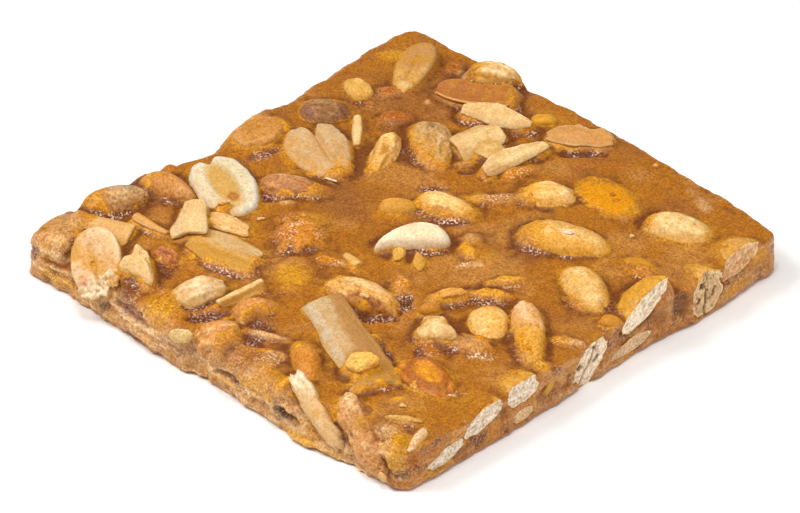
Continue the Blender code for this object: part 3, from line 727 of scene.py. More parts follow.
shavingLook = dict(nutLook, lumps=0.05, wrinkles=0.02, grain=0.015, pits=0.0, bare=(240, 202, 140),
    second=(222, 168, 98), secondSize=4.0, pitShade=0.0, film=0.12, filmHigh=0.8, filmTone=(200, 142, 44),
    cover=0.45, soft=0.9, drained=0.2, ragged=0.05, corner=0.25, thick=0.45, cup=0.0, reach=1.0,
    outline=None, wave=0.12, edgeTone=(242, 210, 160), edgeShare=0.6)
shavingLooks = {
    "shaving_broad": dict(bare=(238, 200, 144), second=(222, 174, 112), cover=0.8, coated=[(-1, 0, 0.8)],
        patches=[(0.1, -0.85, 1.6, 0.75, (204, 144, 78), 0.95),
        (-0.8, 0.0, 0.6, 1.4, (204, 142, 66), 0.9), (0.2, 0.75, 1.2, 0.4, (244, 222, 186), 0.8)],
        light=0.62, ragged=0.03, corner=0.06, thick=0.5, outline=[(-1, -1.25, 1.35), (-0.5, -1.2, 1.1),
        (0, -1.05, 0.9), (0.5, -0.85, 0.75), (0.8, -0.8, 0.8), (1, -0.75, 1.0)]),
    "shaving_flat": dict(bare=(230, 184, 116), second=(220, 164, 82), film=0.2, filmTone=(212, 152, 50),
        cover=0.7, coated=[(0, -1, 0.75), (1, 0, 1.0)],
        patches=[(0.0, 0.9, 1.4, 0.6, (236, 196, 140), 0.9), (0.0, -0.5, 1.4, 0.6, (212, 146, 34), 0.85)],
        light=0.68, corner=0.1, outline=[(-1, -0.4, 1.1), (-0.5, -0.65, 1.25), (0, -0.85, 1.3),
        (0.5, -0.8, 1.1), (1, -0.72, 0.75)]),
    "shaving_upright": dict(cover=0.9, patches=[(0, -1.0, 1.5, 0.5, (240, 206, 150), 0.7)], light=0.84,
        corner=0.08, outline=[(-1, -0.6, 0.8), (-0.6, -0.7, 0.95), (0, -1.1, 1.05), (0.5, -1.5, 1.1),
        (1, -1.3, 1.2)]),
    "shaving_corner": dict(bare=(226, 178, 112), second=(212, 158, 88), film=0.15, cover=0.8,
        coated=[(-1, 0, 0.35)], light=0.92, ragged=0.1, corner=0.3, outline=[(-1, -1.2, 0.8),
        (-0.5, -1.7, 1.3), (0.3, -2.0, 1.8), (0.8, -2.3, 1.5), (1, -2.0, 0.9)], edgeTone=(238, 200, 146)),
    "shaving_corner_wedge": dict(bare=(224, 164, 92), second=(206, 138, 68), film=0.2),
    "shaving_thin": dict(patches=[(0, -0.9, 1.4, 0.6, (196, 128, 20), 0.9)], ragged=0.08,
        outline=[(-1, -1.2, 0.6), (0, -2.6, 1.0), (1, -1.2, 0.6)]),
    "shaving_brown": dict(bare=(164, 94, 40), second=(178, 104, 50), film=0.15, cover=0.6,
        coated=[(1, 0, 0.85)], corner=0.3, cup=0.9, outline=[(-1, -0.2, 1.2), (-0.6, -0.9, 2.0),
        (0, -1.4, 2.4), (0.6, -1.5, 2.3), (1, -1.2, 1.4)], edgeTone=(230, 168, 104), edgeShare=0.9),
    "shaving_pale": dict(film=0.1, light=0.86, cup=0.3, outline=[(-1, -0.6, 1.4), (-0.5, -0.8, 2.4),
        (0, -1.4, 2.9), (0.5, -1.4, 1.9), (1, -0.7, 0.5)], edgeTone=(248, 222, 176), edgeShare=0.8),
    "shaving_wide": dict(secondSize=2.2, film=0.18, cover=0.6, coated=[(0, -1, 1.0)], light=0.86,
        reach=1.12, outline=[(-1, -1.6, 0.9), (-0.5, -1.5, 1.2), (0, -1.1, 1.3), (0.6, -0.9, 1.4),
        (1, -0.6, 0.8)]),
    "shaving_long": dict(film=0.1, cover=0.6, light=0.86, reach=1.15, outline=[(-1, -0.9, 0.6),
        (-0.5, -0.8, 1.8), (0, -0.6, 2.0), (0.5, -0.4, 1.7), (1, -0.2, 1.2)], edgeTone=(248, 222, 176),
        edgeShare=0.8),
    "shaving_mauve": dict(bare=(206, 148, 84), second=(190, 124, 70), cover=0.6, light=0.92, ragged=0.12,
        cup=0.3, outline=[(-1, -0.3, 0.5), (-0.6, -0.6, 1.5), (0, -0.6, 1.7), (0.35, -0.6, 1.3),
        (0.6, -0.6, 1.7), (1, -0.4, 0.7)], edgeTone=(238, 200, 146), edgeShare=0.9),
    "shaving_sliver": dict(cover=0.8, light=0.9, ragged=0.03, reach=1.15, outline=[(-1, -0.9, 0.9),
        (0, -1.3, 1.2), (1, -0.8, 0.8)]),
}

sawnLook = dict(nutLook, pits=0.12, pitSize=0.8, bare=(236, 178, 96), second=(222, 156, 72), film=0.35,
    filmHigh=1.6, cover=0.2, soft=1.3, ragged=0.13, square=2.3, relief=0.12, cracks=[], holes=[],
    cutTone=(232, 214, 188), cutSecond=(204, 176, 142), cutPit=(172, 140, 104), cutCrack=(120, 84, 56),
    cutRim=(244, 212, 160))
sawnLooks = {
    "sawn_arc": dict(ragged=0.2),
    "sawn_upper_low": dict(film=0.5, ragged=0.12),
    "sawn_upper_mid": dict(ragged=0.12, square=3.2),
    "sawn_round": dict(ragged=0.08, cutTone=(224, 188, 140), cutSecond=(204, 160, 112)),
    "sawn_double": dict(ragged=0.18, cracks=[(-0.05, 0.5, 0.07, 0.5)], holes=[(-0.4, 0.45, 0.1, 0.16),
        (0.3, -0.4, 0.16, 0.13), (0.55, 0.3, 0.05, 0.2)], cutTone=(240, 218, 186)),
    "sawn_top": dict(bare=(236, 172, 70), film=0.55, cutTone=(242, 222, 190)),
    "sawn_under": dict(ragged=0.14, cutTone=(216, 178, 134)),
    "sawn_big": dict(pits=0.5, pitSize=0.9, cracks=[(0.1, 0.4, 0.08, 0.4)],
        holes=[(-0.35, 0.4, 0.12, 0.1), (0.3, 0.5, 0.1, 0.14), (0.1, -0.45, 0.2, 0.08)],
        cutTone=(216, 182, 134), cutSecond=(190, 150, 102), cutPit=(150, 112, 74)),
    "sawn_corner": dict(bare=(226, 172, 110), film=0.2, ragged=0.12, cutTone=(206, 152, 98),
        cutSecond=(230, 190, 142), cutPit=(168, 106, 58)),
}

families = [
    (kernelLooks, kernelLook, kernelShape), (splitLooks, splitLook, splitShape),
    (chunkLooks, chunkLook, chunkShape), (shavingLooks, shavingLook, shavingShape),
    (sawnLooks, sawnLook, sawnShape),
]
# The first random seed of the nuts and of the bits, and the step from one to the next
nutSeeds, bitSeeds = (1000, 37), (5000, 41)

nuts = {}
for looks, common, shape in families:
    for node, changes in looks.items():
        lay, look = layOf(node), {**common, **changes}
        seed = nutSeeds[0] + nutSeeds[1] * sorted(frame["nodes"]).index(node)
        local, masks = shape(lay, look, seed)
        world = local if shape is sawnShape else placed(local, lay)
        nuts[node] = {"lay": lay, "look": look, "world": world, "masks": masks, "seed": seed}
print("nuts and shavings shaped:", len(nuts))


# Heights and shares over the slab, seen from above, are rasters of cells that go a little past the box
cellSize, rasterMargin = 0.25, 4
rasterX = np.arange(boxLow[0] - rasterMargin, boxHigh[0] + rasterMargin, cellSize)
rasterY = np.arange(boxLow[1] - rasterMargin, boxHigh[1] + rasterMargin, cellSize)
gridX, gridY = np.meshgrid(rasterX, rasterY)
flatPlaces = stacked(gridX, gridY, 0)
waveX = np.fft.rfftfreq(len(rasterX), cellSize)
waveY = np.fft.fftfreq(len(rasterY), cellSize)[:, None]
waveSquare = waveX ** 2 + waveY ** 2


def blurred(field, reach):
    # Gaussian blur of that reach, in millimetres, through the field's spectrum
    return np.fft.irfft2(np.fft.rfft2(field) * np.exp(-2 * (np.pi * reach) ** 2 * waveSquare), s=field.shape)


def cellsOf(points):
    # Row and column of the raster's cell that each point lies in
    column = np.round((points[..., 0] - rasterX[0]) / cellSize).astype(int).ravel()
    row = np.round((points[..., 1] - rasterY[0]) / cellSize).astype(int).ravel()
    return row, column


def topOf(points):
    # Heights dropped on the raster's cells: the highest wins, and empty cells hold minus infinity
    field = np.full(gridX.shape, -np.inf)
    np.maximum.at(field, cellsOf(points), points[..., 2].ravel())
    return field


def closedUp(field):
    # Fills the small gaps of a dropped field from its neighbours
    for _ in range(2):
        sides = np.stack([np.roll(field, step, axis) for step in (-1, 1) for axis in (0, 1)])
        near = np.sort(sides, axis=0)[-3:]
        field = np.where(np.isinf(field) & ~np.isinf(near[0]), near.mean(0), field)
    return field


def sampled(field, x, y):
    # Bilinear value of a raster field at places
    u = np.clip((x - rasterX[0]) / cellSize, 0, len(rasterX) - 1.001)
    v = np.clip((y - rasterY[0]) / cellSize, 0, len(rasterY) - 1.001)
    i, j = u.astype(int), v.astype(int)
    u, v = u - i, v - j
    near = field[j, i] * (1 - u) + field[j, i + 1] * u
    far = field[j + 1, i] * (1 - u) + field[j + 1, i + 1] * u
    return near * (1 - v) + far * v


def highest(first, second, soft):
    # Smooth maximum: the larger of the two, rounded where they are within soft of each other
    near = np.clip(1 - np.abs(first - second) / soft, 0, 1)
    return np.maximum(first, second) + soft / 4 * near ** 2


# Tones of the caramel's top and walls, shares of their light, and heights of its waves and ripples. The deep
# tone is painted shade in the top's hollows and the wall's deep tone painted shade in the wall's hollows; the
# glow tone is a painted glow of light through the caramel
caramelLook = {
    "open": (170, 105, 24), "pale": (186, 128, 60), "glow": (208, 142, 26), "deep": (104, 52, 20),
    "thin": (212, 152, 32), "cloud": (146, 90, 44), "wallLeft": (194, 142, 86), "wallRight": (174, 114, 56),
    "wallHollowShade": (98, 52, 28), "stratum": (238, 198, 142), "under": (170, 110, 52), "speckle": (146, 86, 46),
    "topLight": 0.95, "wallLight": 0.98, "waves": 0.16, "ripples": 0.07,
}

# Tones of the marks below; dark and mauve, where they fill hollows, are painted shade
tones = {
    "orange": (190, 112, 44), "gold": (208, 148, 32), "amber": (196, 124, 6), "yellow": (202, 142, 4),
    "rust": (162, 90, 26), "brown": (142, 90, 44), "tan": (190, 142, 84), "cream": (222, 184, 126),
    "mauve": (136, 90, 72), "dark": (86, 46, 26),
}

# What lies just under the caramel, and its pools, folds and gritty hollows; in the hollows the dark and mauve
# tones are painted shade, but the small dark spot at 17.5, 33.1 is a brown spot of its own:
# x, y, half length, half width, turn in degrees, rise, tone, share of the tone, grit with its painted glints
mounds = [
    (-43.0, -40.0, 5.4, 3.8, 107, 1.2, "tan", 0.75, 0.0),
    (-38.5, -44.0, 3.0, 2.0, 150, 0.0, "cream", 0.4, 0.0),
    (-35.0, -36.5, 3.0, 2.0, 45, 0.0, "tan", 0.5, 0.1),
    (-22.0, -35.5, 3.5, 2.0, 135, -0.4, "rust", 0.6, 0.3),
    (-42.4, -14.8, 1.7, 1.2, 108, 0.8, "rust", 0.5, 0.0),
    (-43.3, 5.5, 5.0, 2.6, 118, 0.8, "tan", 0.5, 0.0),
    (-35.0, 0.4, 3.7, 1.5, 75, -0.2, "mauve", 0.7, 0.9),
    (-24.7, -8.7, 1.8, 1.1, 15, -0.4, "mauve", 0.9, 1.0),
    (-21.2, -7.6, 1.5, 0.7, 45, 0.3, "cream", 0.6, 0.3),
    (-14.5, -29.8, 5.0, 1.0, 15, -0.1, "mauve", 0.6, 0.8),
    (-14.0, -45.2, 4.3, 3.4, 135, 0.2, "yellow", 0.85, 0.2),
    (-17.5, -41.5, 3.0, 2.0, 135, 0.1, "amber", 0.5, 0.3),
    (-7.0, -41.0, 3.5, 1.8, 57, -1.1, "mauve", 0.9, 0.5),
    (-10.5, -40.5, 2.6, 1.6, 60, -0.8, "brown", 0.8, 0.5),
    (4.0, -40.6, 3.0, 2.0, 135, -0.5, "mauve", 0.8, 0.8),
    (1.5, -36.5, 2.5, 1.2, 20, -0.4, "mauve", 0.6, 0.6),
    (4.9, -37.6, 4.4, 0.9, 18, 0.8, "cream", 0.55, 0.0),
    (7.0, -41.5, 4.5, 1.0, 20, 0.4, "amber", 0.8, 0.0),
    (10.0, -43.5, 3.7, 2.4, 82, 0.3, "tan", 0.5, 0.8),
    (15.0, -46.2, 4.1, 2.2, 157, 0.7, "gold", 0.8, 0.0),
    (-12.0, -13.6, 4.5, 3.6, 45, 1.2, "orange", 0.6, 0.7),
    (-16.5, -10.5, 3.0, 2.0, 45, 0.5, "rust", 0.5, 0.3),
    (-10.0, -16.0, 3.0, 1.5, 45, 0.3, "amber", 0.8, 0.3),
    (-7.0, -20.0, 3.0, 2.2, 45, 0.3, "tan", 0.5, 0.0),
    (-4.3, -23.0, 4.6, 3.8, 135, 0.4, "gold", 0.65, 0.0),
    (-3.2, -15.1, 3.2, 1.1, 20, 0.5, "amber", 0.8, 0.9),
    (0.5, -13.2, 2.6, 1.0, 150, 0.4, "gold", 0.6, 0.3),
    (-7.9, 1.3, 2.4, 1.5, 135, 0.2, "amber", 0.8, 0.0),
    (-6.9, 13.4, 2.8, 1.0, 45, -0.35, "mauve", 0.8, 0.9),
    (1.0, 16.5, 3.0, 1.6, 45, 0.3, "gold", 0.7, 0.0),
    (3.7, 19.3, 3.8, 1.6, 45, 0.5, "tan", 0.5, 1.0),
    (9.5, 6.6, 2.2, 1.7, 135, 1.0, "tan", 0.8, 0.0),
    (11.9, 3.4, 2.4, 1.4, 160, 0.9, "gold", 0.7, 0.2),
    (13.4, 5.2, 2.2, 1.0, 120, 0.3, "rust", 0.7, 0.0),
    (14.7, 1.1, 2.4, 0.9, 45, 0.2, "cream", 0.5, 1.3),
    (10.1, -10.8, 2.6, 1.6, 135, 0.7, "amber", 0.7, 0.5),
    (14.4, -14.2, 2.6, 1.5, 135, -1.2, "dark", 0.7, 1.0),
    (13.0, -21.2, 5.0, 1.8, 45, -1.6, "rust", 0.9, 0.6),
    (-28.0, 32.0, 18.0, 10.0, 45, 0.0, "brown", 0.6, 0.0),
    (2.7, 8.0, 3.4, 1.1, 45, -0.3, "rust", 0.9, 1.3),
    (37.5, -29.3, 4.2, 1.0, 40, -0.1, "cream", 0.6, 1.4),
    (28.0, -24.5, 4.0, 1.2, 135, -0.8, "rust", 0.8, 0.4),
    (-14.0, 2.0, 10.0, 6.0, 45, 0.0, "brown", 0.25, 0.0),
    (-40.5, 37.5, 3.0, 2.0, 60, 0.2, "gold", 0.6, 0.0),
    (18.4, -25.7, 1.5, 1.2, 135, 1.0, "gold", 0.9, 0.0),
    (20.5, -26.5, 2.6, 1.0, 150, -0.5, "brown", 0.8, 0.3),
    (23.0, -27.2, 2.0, 1.0, 159, -0.8, "mauve", 0.9, 0.5),
    (27.0, -21.5, 3.5, 1.6, 0, 0.5, "rust", 0.5, 0.4),
    (23.0, 2.1, 3.6, 1.2, 51, 0.9, "gold", 0.85, 0.1),
    (23.1, -3.0, 4.2, 1.5, 39, 1.0, "gold", 0.7, 0.2),
    (25.0, -4.5, 3.2, 0.8, 42, 0.1, "cream", 0.4, 1.0),
    (31.7, -15.9, 3.8, 2.4, 15, 1.1, "tan", 0.6, 0.3),
    (33.0, -14.2, 1.6, 1.2, 45, 0.3, "amber", 0.9, 0.0),
    (35.5, -17.2, 2.6, 0.8, 40, -0.1, "cream", 0.5, 1.3),
    (34.3, -36.0, 1.5, 1.0, 45, 0.4, "gold", 0.8, 0.0),
    (39.5, -39.5, 3.3, 1.0, 34, 0.8, "cream", 0.75, 0.0),
    (39.8, -43.7, 3.2, 2.2, 162, 0.5, "cream", 0.45, 0.4),
    (43.0, -45.0, 3.4, 2.4, 120, 0.2, "yellow", 0.9, 0.0),
    (44.5, -11.5, 1.6, 1.4, 0, 0.5, "gold", 0.8, 0.2),
    (41.5, -3.5, 2.2, 1.4, 45, 0.5, "gold", 0.6, 0.5),
    (43.4, -2.0, 1.6, 1.1, 45, 0.3, "cream", 0.5, 0.9),
    (36.3, 20.9, 4.6, 3.0, 11, 0.5, "rust", 0.4, 0.1),
    (37.5, 19.2, 2.4, 1.2, 11, -0.5, "amber", 0.8, 0.0),
    (17.5, 33.1, 0.5, 0.45, 0, -0.1, "dark", 0.9, 0.0),
    (13.1, 34.8, 0.4, 0.35, 0, -0.1, "rust", 0.7, 0.0),
    (25.5, 44.5, 2.4, 1.2, 165, 0.2, "tan", 0.4, 0.0),
    (29.9, 42.9, 3.0, 1.5, 156, 0.2, "cream", 0.45, 0.0),
    (34.1, 45.4, 1.8, 1.0, 168, -0.2, "brown", 0.7, 0.0),
    (9.4, 39.2, 6.0, 1.3, 39, 0.3, "rust", 0.5, 0.0),
    (3.6, 39.2, 4.2, 0.9, 39, -0.9, "dark", 0.8, 0.0),
    (0.2, 27.0, 3.6, 1.6, 80, 0.7, "amber", 0.7, 0.5),
    (-8.3, 22.5, 2.0, 0.8, 45, 0.3, "tan", 0.6, 0.2),
    (-6.3, 21.3, 1.5, 0.45, 45, -0.7, "dark", 0.8, 0.0),
    (-30.3, 42.5, 1.9, 1.3, 135, 0.9, "rust", 0.5, 0.0),
    (-30.3, 42.5, 0.9, 0.6, 135, -0.6, "rust", 0.5, 0.3),
    (-27.0, 41.0, 2.4, 0.8, 135, 0.3, "cream", 0.4, 0.5),
    (-33.1, 28.9, 2.1, 1.7, 45, 0.7, "rust", 0.95, 0.2),
    (-26.7, 24.2, 3.0, 1.7, 45, 0.8, "rust", 0.9, 0.2),
    (-32.5, 23.9, 1.1, 0.8, 135, 0.5, "rust", 0.7, 0.2),
    (-26.1, 31.6, 0.9, 0.6, 135, 0.4, "tan", 0.6, 0.0),
]

slabPoints = np.unique(np.round(meshPoints(frame["nodes"]["caramel_slab"].data), 3), axis=0)
# The solid's points above rimHeight give the level of the top, smoothed over levelReach
rimHeight, levelReach = 7.2, 2.4
upper = slabPoints[slabPoints[:, 2] > rimHeight]
count = np.zeros(gridX.shape)
total = np.zeros(gridX.shape)
upperIndex = cellsOf(upper)
np.add.at(count, upperIndex, 1.0)
np.add.at(total, upperIndex, upper[:, 2])
near = blurred(count, levelReach)
level = float(np.median(upper[:, 2]))
base = np.clip(blurred(total, levelReach) / np.maximum(near, 1e-6), level - 1.5, level + 2.5)
base = np.where(near > 1e-4, base, level)
swollen = base - blurred(base, 8.0)
base = base + caramelLook["waves"] * layered(flatPlaces, 6.0, 11, 3)

stain = np.broadcast_to(linear(caramelLook["open"]), gridX.shape + (3,)).copy()
stainShare, gritAndGlintField = np.zeros(gridX.shape), np.zeros(gridX.shape)
uneven, crumbly = layered(flatPlaces, 1.6, 37, 2), layered(flatPlaces, 0.9, 39, 2)
for x, y, long, wide, turned, rise, tone, share, gritAndGlint in mounds:
    cosine, sine = np.cos(np.radians(turned)), np.sin(np.radians(turned))
    along = ((gridX - x) * cosine + (gridY - y) * sine) / long
    across = ((gridY - y) * cosine - (gridX - x) * sine) / wide
    dome = smooth(1.35 - np.hypot(along, across) * (1 + 0.28 * uneven), 0, 0.95)
    base = base + rise * dome * (1 + 0.25 * crumbly)
    stain = blend(stain, linear(tones[tone]), dome)
    stainShare = np.maximum(stainShare, dome * share)
    gritAndGlintField = np.maximum(gritAndGlintField, dome * gritAndGlint * smooth(uneven, -0.5, 0.3))

# Pieces smaller than the solids: kind, x, y, z, half sizes, turn, lean, tone, second tone, film
bits = [
    ("kernel", -6.5, 4.8, 8.6, (3.3, 2.1, 1.6), 45, 0, (230, 172, 92), (206, 122, 48), 0.4),
    ("kernel", -37.2, 25.6, 8.4, (3.4, 2.4, 1.5), 160, 0, (240, 200, 124), (228, 166, 80), 0.25),
    ("kernel", -7.5, 41.6, 8.4, (2.3, 1.6, 1.3), 45, 0, (238, 176, 70), (222, 150, 40), 0.5),
    ("kernel", 43.4, 6.3, 8.2, (1.9, 1.4, 1.3), 45, 0, (206, 132, 64), (190, 110, 50), 0.5),
    ("kernel", -6.8, -47.4, 7.3, (2.5, 0.9, 1.3), 8, 22, (234, 208, 146), (224, 184, 116), 0.1),
    ("kernel", 35.6, 21.8, 8.0, (3.9, 1.5, 1.5), 11, 0, (196, 116, 50), (170, 92, 38), 0.4),
    ("kernel", 19.5, -13.5, 8.8, (1.9, 1.3, 1.3), 60, 0, (208, 134, 66), (180, 102, 46), 0.3),
    ("kernel", 17.5, 33.1, 9.35, (0.6, 0.55, 0.4), 0, 0, (134, 56, 22), (96, 36, 16), 0.0),
    ("chunk", 24.9, -16.4, 9.9, (3.4, 1.0, 0.9), -6, 0, (250, 214, 150), (222, 164, 90), 0.05),
    ("strip", -7.1, 28.3, 9.1, (4.0, 2.3, 0.35), -3, 0, (236, 196, 132), (218, 166, 90), 0.25),
    ("chunk", -27.4, -16.7, 10.2, (1.3, 0.8, 0.45), 60, 0, (242, 204, 152), (214, 160, 100), 0.1),
    ("chunk", 6.1, -19.1, 10.3, (0.6, 0.5, 0.4), 20, 0, (250, 222, 178), (236, 190, 130), 0.0),
    ("chunk", 9.8, -19.8, 10.2, (0.9, 0.7, 0.45), 20, 0, (248, 210, 160), (232, 176, 116), 0.0),
    ("chunk", 22.0, 18.1, 10.9, (0.95, 0.55, 0.25), 45, 0, (252, 232, 204), (246, 212, 164), 0.0),
    ("chunk", 28.2, 27.0, 8.8, (0.5, 0.4, 0.3), 45, 0, (248, 216, 160), (230, 180, 110), 0.2),
    ("chunk", 15.9, 45.2, 8.8, (0.5, 0.4, 0.3), 45, 0, (246, 200, 130), (230, 170, 90), 0.2),
    ("chunk", 36.4, -36.9, 8.8, (0.75, 0.5, 0.35), 45, 0, (246, 206, 156), (226, 170, 110), 0.1),
    ("chunk", -20.5, 2.3, 9.0, (1.3, 0.35, 0.3), 15, 0, (255, 246, 228), (250, 226, 190), 0.0),
    ("chunk", -20.8, -14.3, 8.7, (0.8, 0.4, 0.3), 60, 0, (250, 210, 170), (230, 170, 120), 0.1),
    ("chunk", 42.6, -48.0, 2.4, (1.1, 0.5, 0.7), 0, -20, (248, 226, 188), (236, 196, 140), 0.0),
    ("chunk", 45.9, -24.2, 5.9, (0.9, 0.4, 0.9), 90, 0, (232, 200, 156), (214, 170, 120), 0.0),
    ("chunk", 45.9, -28.9, 3.0, (1.1, 0.4, 0.6), 90, 30, (236, 210, 170), (220, 180, 130), 0.0),
    ("chunk", 45.9, -32.0, 3.4, (1.3, 0.4, 0.8), 90, 0, (226, 176, 90), (210, 150, 60), 0.3),
    ("chunk", 45.9, -21.6, 1.5, (2.2, 0.4, 0.6), 90, 20, (238, 208, 160), (220, 178, 124), 0.0),
    ("chunk", 45.8, -11.1, 4.8, (2.0, 0.4, 1.1), 90, 35, (228, 180, 112), (206, 150, 84), 0.1),
    ("chunk", 20.4, -47.3, 4.6, (2.2, 0.5, 0.35), 0, -22, (176, 132, 104), (150, 104, 76), 0.1),
    ("chunk", 22.0, -47.4, 2.9, (1.9, 0.5, 0.4), 0, -8, (224, 170, 116), (190, 132, 84), 0.1),
    ("chunk", 4.8, -47.7, 3.4, (2.9, 0.4, 0.35), 0, -6, (238, 204, 154), (214, 164, 108), 0.1),
    ("strip", -0.5, -12.4, 9.2, (2.0, 0.9, 0.3), 170, 0, (232, 188, 120), (222, 164, 84), 0.2),
    ("chunk", 3.4, -5.0, 8.7, (2.9, 1.3, 0.8), 128, 0, (228, 182, 106), (214, 154, 72), 0.35),
    ("chunk", 7.4, -4.2, 8.6, (2.7, 1.2, 0.7), 140, 0, (224, 172, 92), (210, 146, 60), 0.45),
    ("chunk", 39.5, -39.7, 8.9, (3.6, 0.9, 0.6), 34, 0, (236, 196, 134), (222, 160, 78), 0.2),
    ("chunk", 44.6, -41.6, 8.3, (3.8, 1.1, 0.8), 109, 0, (232, 200, 160), (206, 162, 116), 0.1),
]
bitLook = dict(secondSize=1.2, pitSize=0.6, soft=0.7, cavity=0.6, wrinkles=0.04)
bitKinds = {
    "kernel": (kernelShape, {**nutLook, **bitLook, "wrinkles": 0.14}),
    "chunk": (chunkShape, {**chunkLook, **bitLook}),
    "strip": (shavingShape, {**shavingLook, **bitLook}),
}
for index, (kind, x, y, z, half, turned, lean, bare, second, film) in enumerate(bits):
    turned, lean = np.radians(turned), np.radians(lean)
    long = np.array([np.cos(turned) * np.cos(lean), np.sin(turned) * np.cos(lean), np.sin(lean)])
    side = np.array([-np.sin(turned), np.cos(turned), 0])
    lay = {
        "middle": np.array([x, y, z]), "basis": np.array([long, side, np.cross(long, side)]),
        "half": np.array(half), "fit": (0.0, -half[2] * 0.6, -half[2] * 0.4, 0.0, half[1], -0.25 * half[1])}
    shape, common = bitKinds[kind]
    look = dict(common, bare=bare, second=second, film=film)
    seed = bitSeeds[0] + bitSeeds[1] * index
    local, masks = shape(lay, look, seed)
    nuts[f"bit_{index}"] = {
        "lay": lay, "look": look, "world": placed(local, lay), "masks": masks, "seed": seed, "bit": kind}

nutTop = np.full(gridX.shape, -np.inf)
caramel = base
unevenCover = 0.35 * layered(flatPlaces, 2.4, 31, 2)
# How caramel meets the nuts, in millimetres: how deep and soft its coats are, how far its skirt reaches
# round a nut and how fast it falls away there, and how far its surface and its glow are smoothed
coatLook = {
    "deep": 0.28, "soft": 0.22, "uneven": 0.45, "skirt": 0.55, "fall": 3.0, "settle": 0.22, "halo": 1.8}
for node, nut in nuts.items():
    top = closedUp(topOf(nut["world"]))
    nutTop = np.maximum(nutTop, top)
    mask = np.isfinite(top).astype(float)
    shade = blurred(mask, coatLook["skirt"])
    carried = blurred(np.where(mask > 0, top, 0), coatLook["skirt"]) / np.maximum(shade, 1e-3)
    cover = nut["look"]["cover"] + unevenCover
    away = np.stack([gridX - nut["lay"]["middle"][0], gridY - nut["lay"]["middle"][1]], -1)
    share = away @ nut["lay"]["basis"][:2, :2].T / nut["lay"]["half"][:2]
    for towardX, towardY, begin in nut["look"]["coated"]:
        reach = share[..., 0] * towardX + share[..., 1] * towardY - begin + coatLook["uneven"] * uneven
        coat = smooth(reach, -coatLook["soft"], coatLook["soft"])
        cover = cover * (1 - coat) - coatLook["deep"] * coat
    skirt = np.where(mask > 0, top, carried) - cover - coatLook["fall"] * np.clip(0.5 - shade, 0, 1)
    beside = shade > 0.03
    caramel = np.where(beside, highest(caramel, np.where(beside, skirt, 0), nut["look"]["soft"]), caramel)
caramel = blurred(caramel, coatLook["settle"])
covered = caramel - nutTop
bareMask = np.isfinite(nutTop) & (covered < 0)
halo = blurred(bareMask.astype(float), coatLook["halo"])
openShare = 1 - blurred(np.isfinite(nutTop).astype(float), 0.5)
caramel += openShare * (caramelLook["ripples"] * layered(flatPlaces, 1.8, 23, 3))
hollows = np.clip((blurred(caramel, 1.7) - caramel) / 0.5 + (blurred(caramel, 0.7) - caramel) / 0.7, -1, 1)
slopeY, slopeX = np.gradient(blurred(caramel, 0.8), cellSize)
facing = slopeY - slopeX
print("caramel surface worked out")


# The outline goes through the ring of the solid's points just above its foot
footHeight = np.median(slabPoints[(slabPoints[:, 2] > 0.2) & (slabPoints[:, 2] < 0.8), 2])
ring = slabPoints[np.abs(slabPoints[:, 2] - footHeight) < 0.02]
ringAngle = np.arctan2(ring[:, 1], ring[:, 0])
ring = ring[np.argsort(ringAngle)]
ringAngle = np.sort(ringAngle)
outlineSteps = 2880
outlineAngle = np.linspace(-np.pi, np.pi, outlineSteps + 1)[:-1]
reachOut = np.interp(outlineAngle, ringAngle, np.hypot(ring[:, 0], ring[:, 1]), period=2 * np.pi)
outline = np.stack([np.cos(outlineAngle), np.sin(outlineAngle)], -1) * reachOut[:, None]


def eased(values, steps):
    # Moving average round a closed list
    kernel = np.ones(2 * steps + 1) / (2 * steps + 1)
    wrapped = np.concatenate([values[-steps:], values, values[:steps]])
    return np.stack([np.convolve(column, kernel, "valid") for column in wrapped.T], -1)


outline = eased(outline, 9)
tangent = eased(np.roll(outline, -1, 0) - np.roll(outline, 1, 0), 24)
outward = np.stack([tangent[:, 1], -tangent[:, 0]], -1)
outward /= np.linalg.norm(outward, axis=1, keepdims=True)
sides = {"right": np.clip(outward[:, 0], 0, 1) ** 2, "left": np.clip(-outward[:, 0], 0, 1) ** 2,
         "back": np.clip(outward[:, 1], 0, 1) ** 2, "front": np.clip(-outward[:, 1], 0, 1) ** 2}
# The radius of each side's shoulder, how far its outline wanders and how rough its wall is
sideLook = {
    "shoulder": {"right": 0.9, "back": 1.0, "left": 1.6, "front": 2.8},
    "wander": {"right": 0.2, "back": 0.3, "left": 0.35, "front": 0.45},
    "wall": {"front": 0.6, "left": 0.5, "back": 0.32, "right": 0.2},
}
shoulder, wander = [
    sum(sides[side] * amount for side, amount in sideLook[key].items()) for key in ("shoulder", "wander")]
wandering = layered(stacked(outline[:, 0], outline[:, 1], 0), 2.6, 41, 4)
outline = outline + outward * (wander * wandering)[:, None]
start = outline - outward * shoulder[:, None]


def onOutline(values, angle):
    # Value of a list given round the outline, at other angles
    if values.ndim == 1:
        return np.interp(angle, outlineAngle, values, period=2 * np.pi)
    return np.stack([onOutline(column, angle) for column in values.T], -1)


# Cells along the top, rings round the shoulder and down the wall, and the foot's step inward and its height
slabGrid = {"cells": 256, "roundRings": 7, "straightRings": 16, "foot": 0.5, "footRise": 0.5}


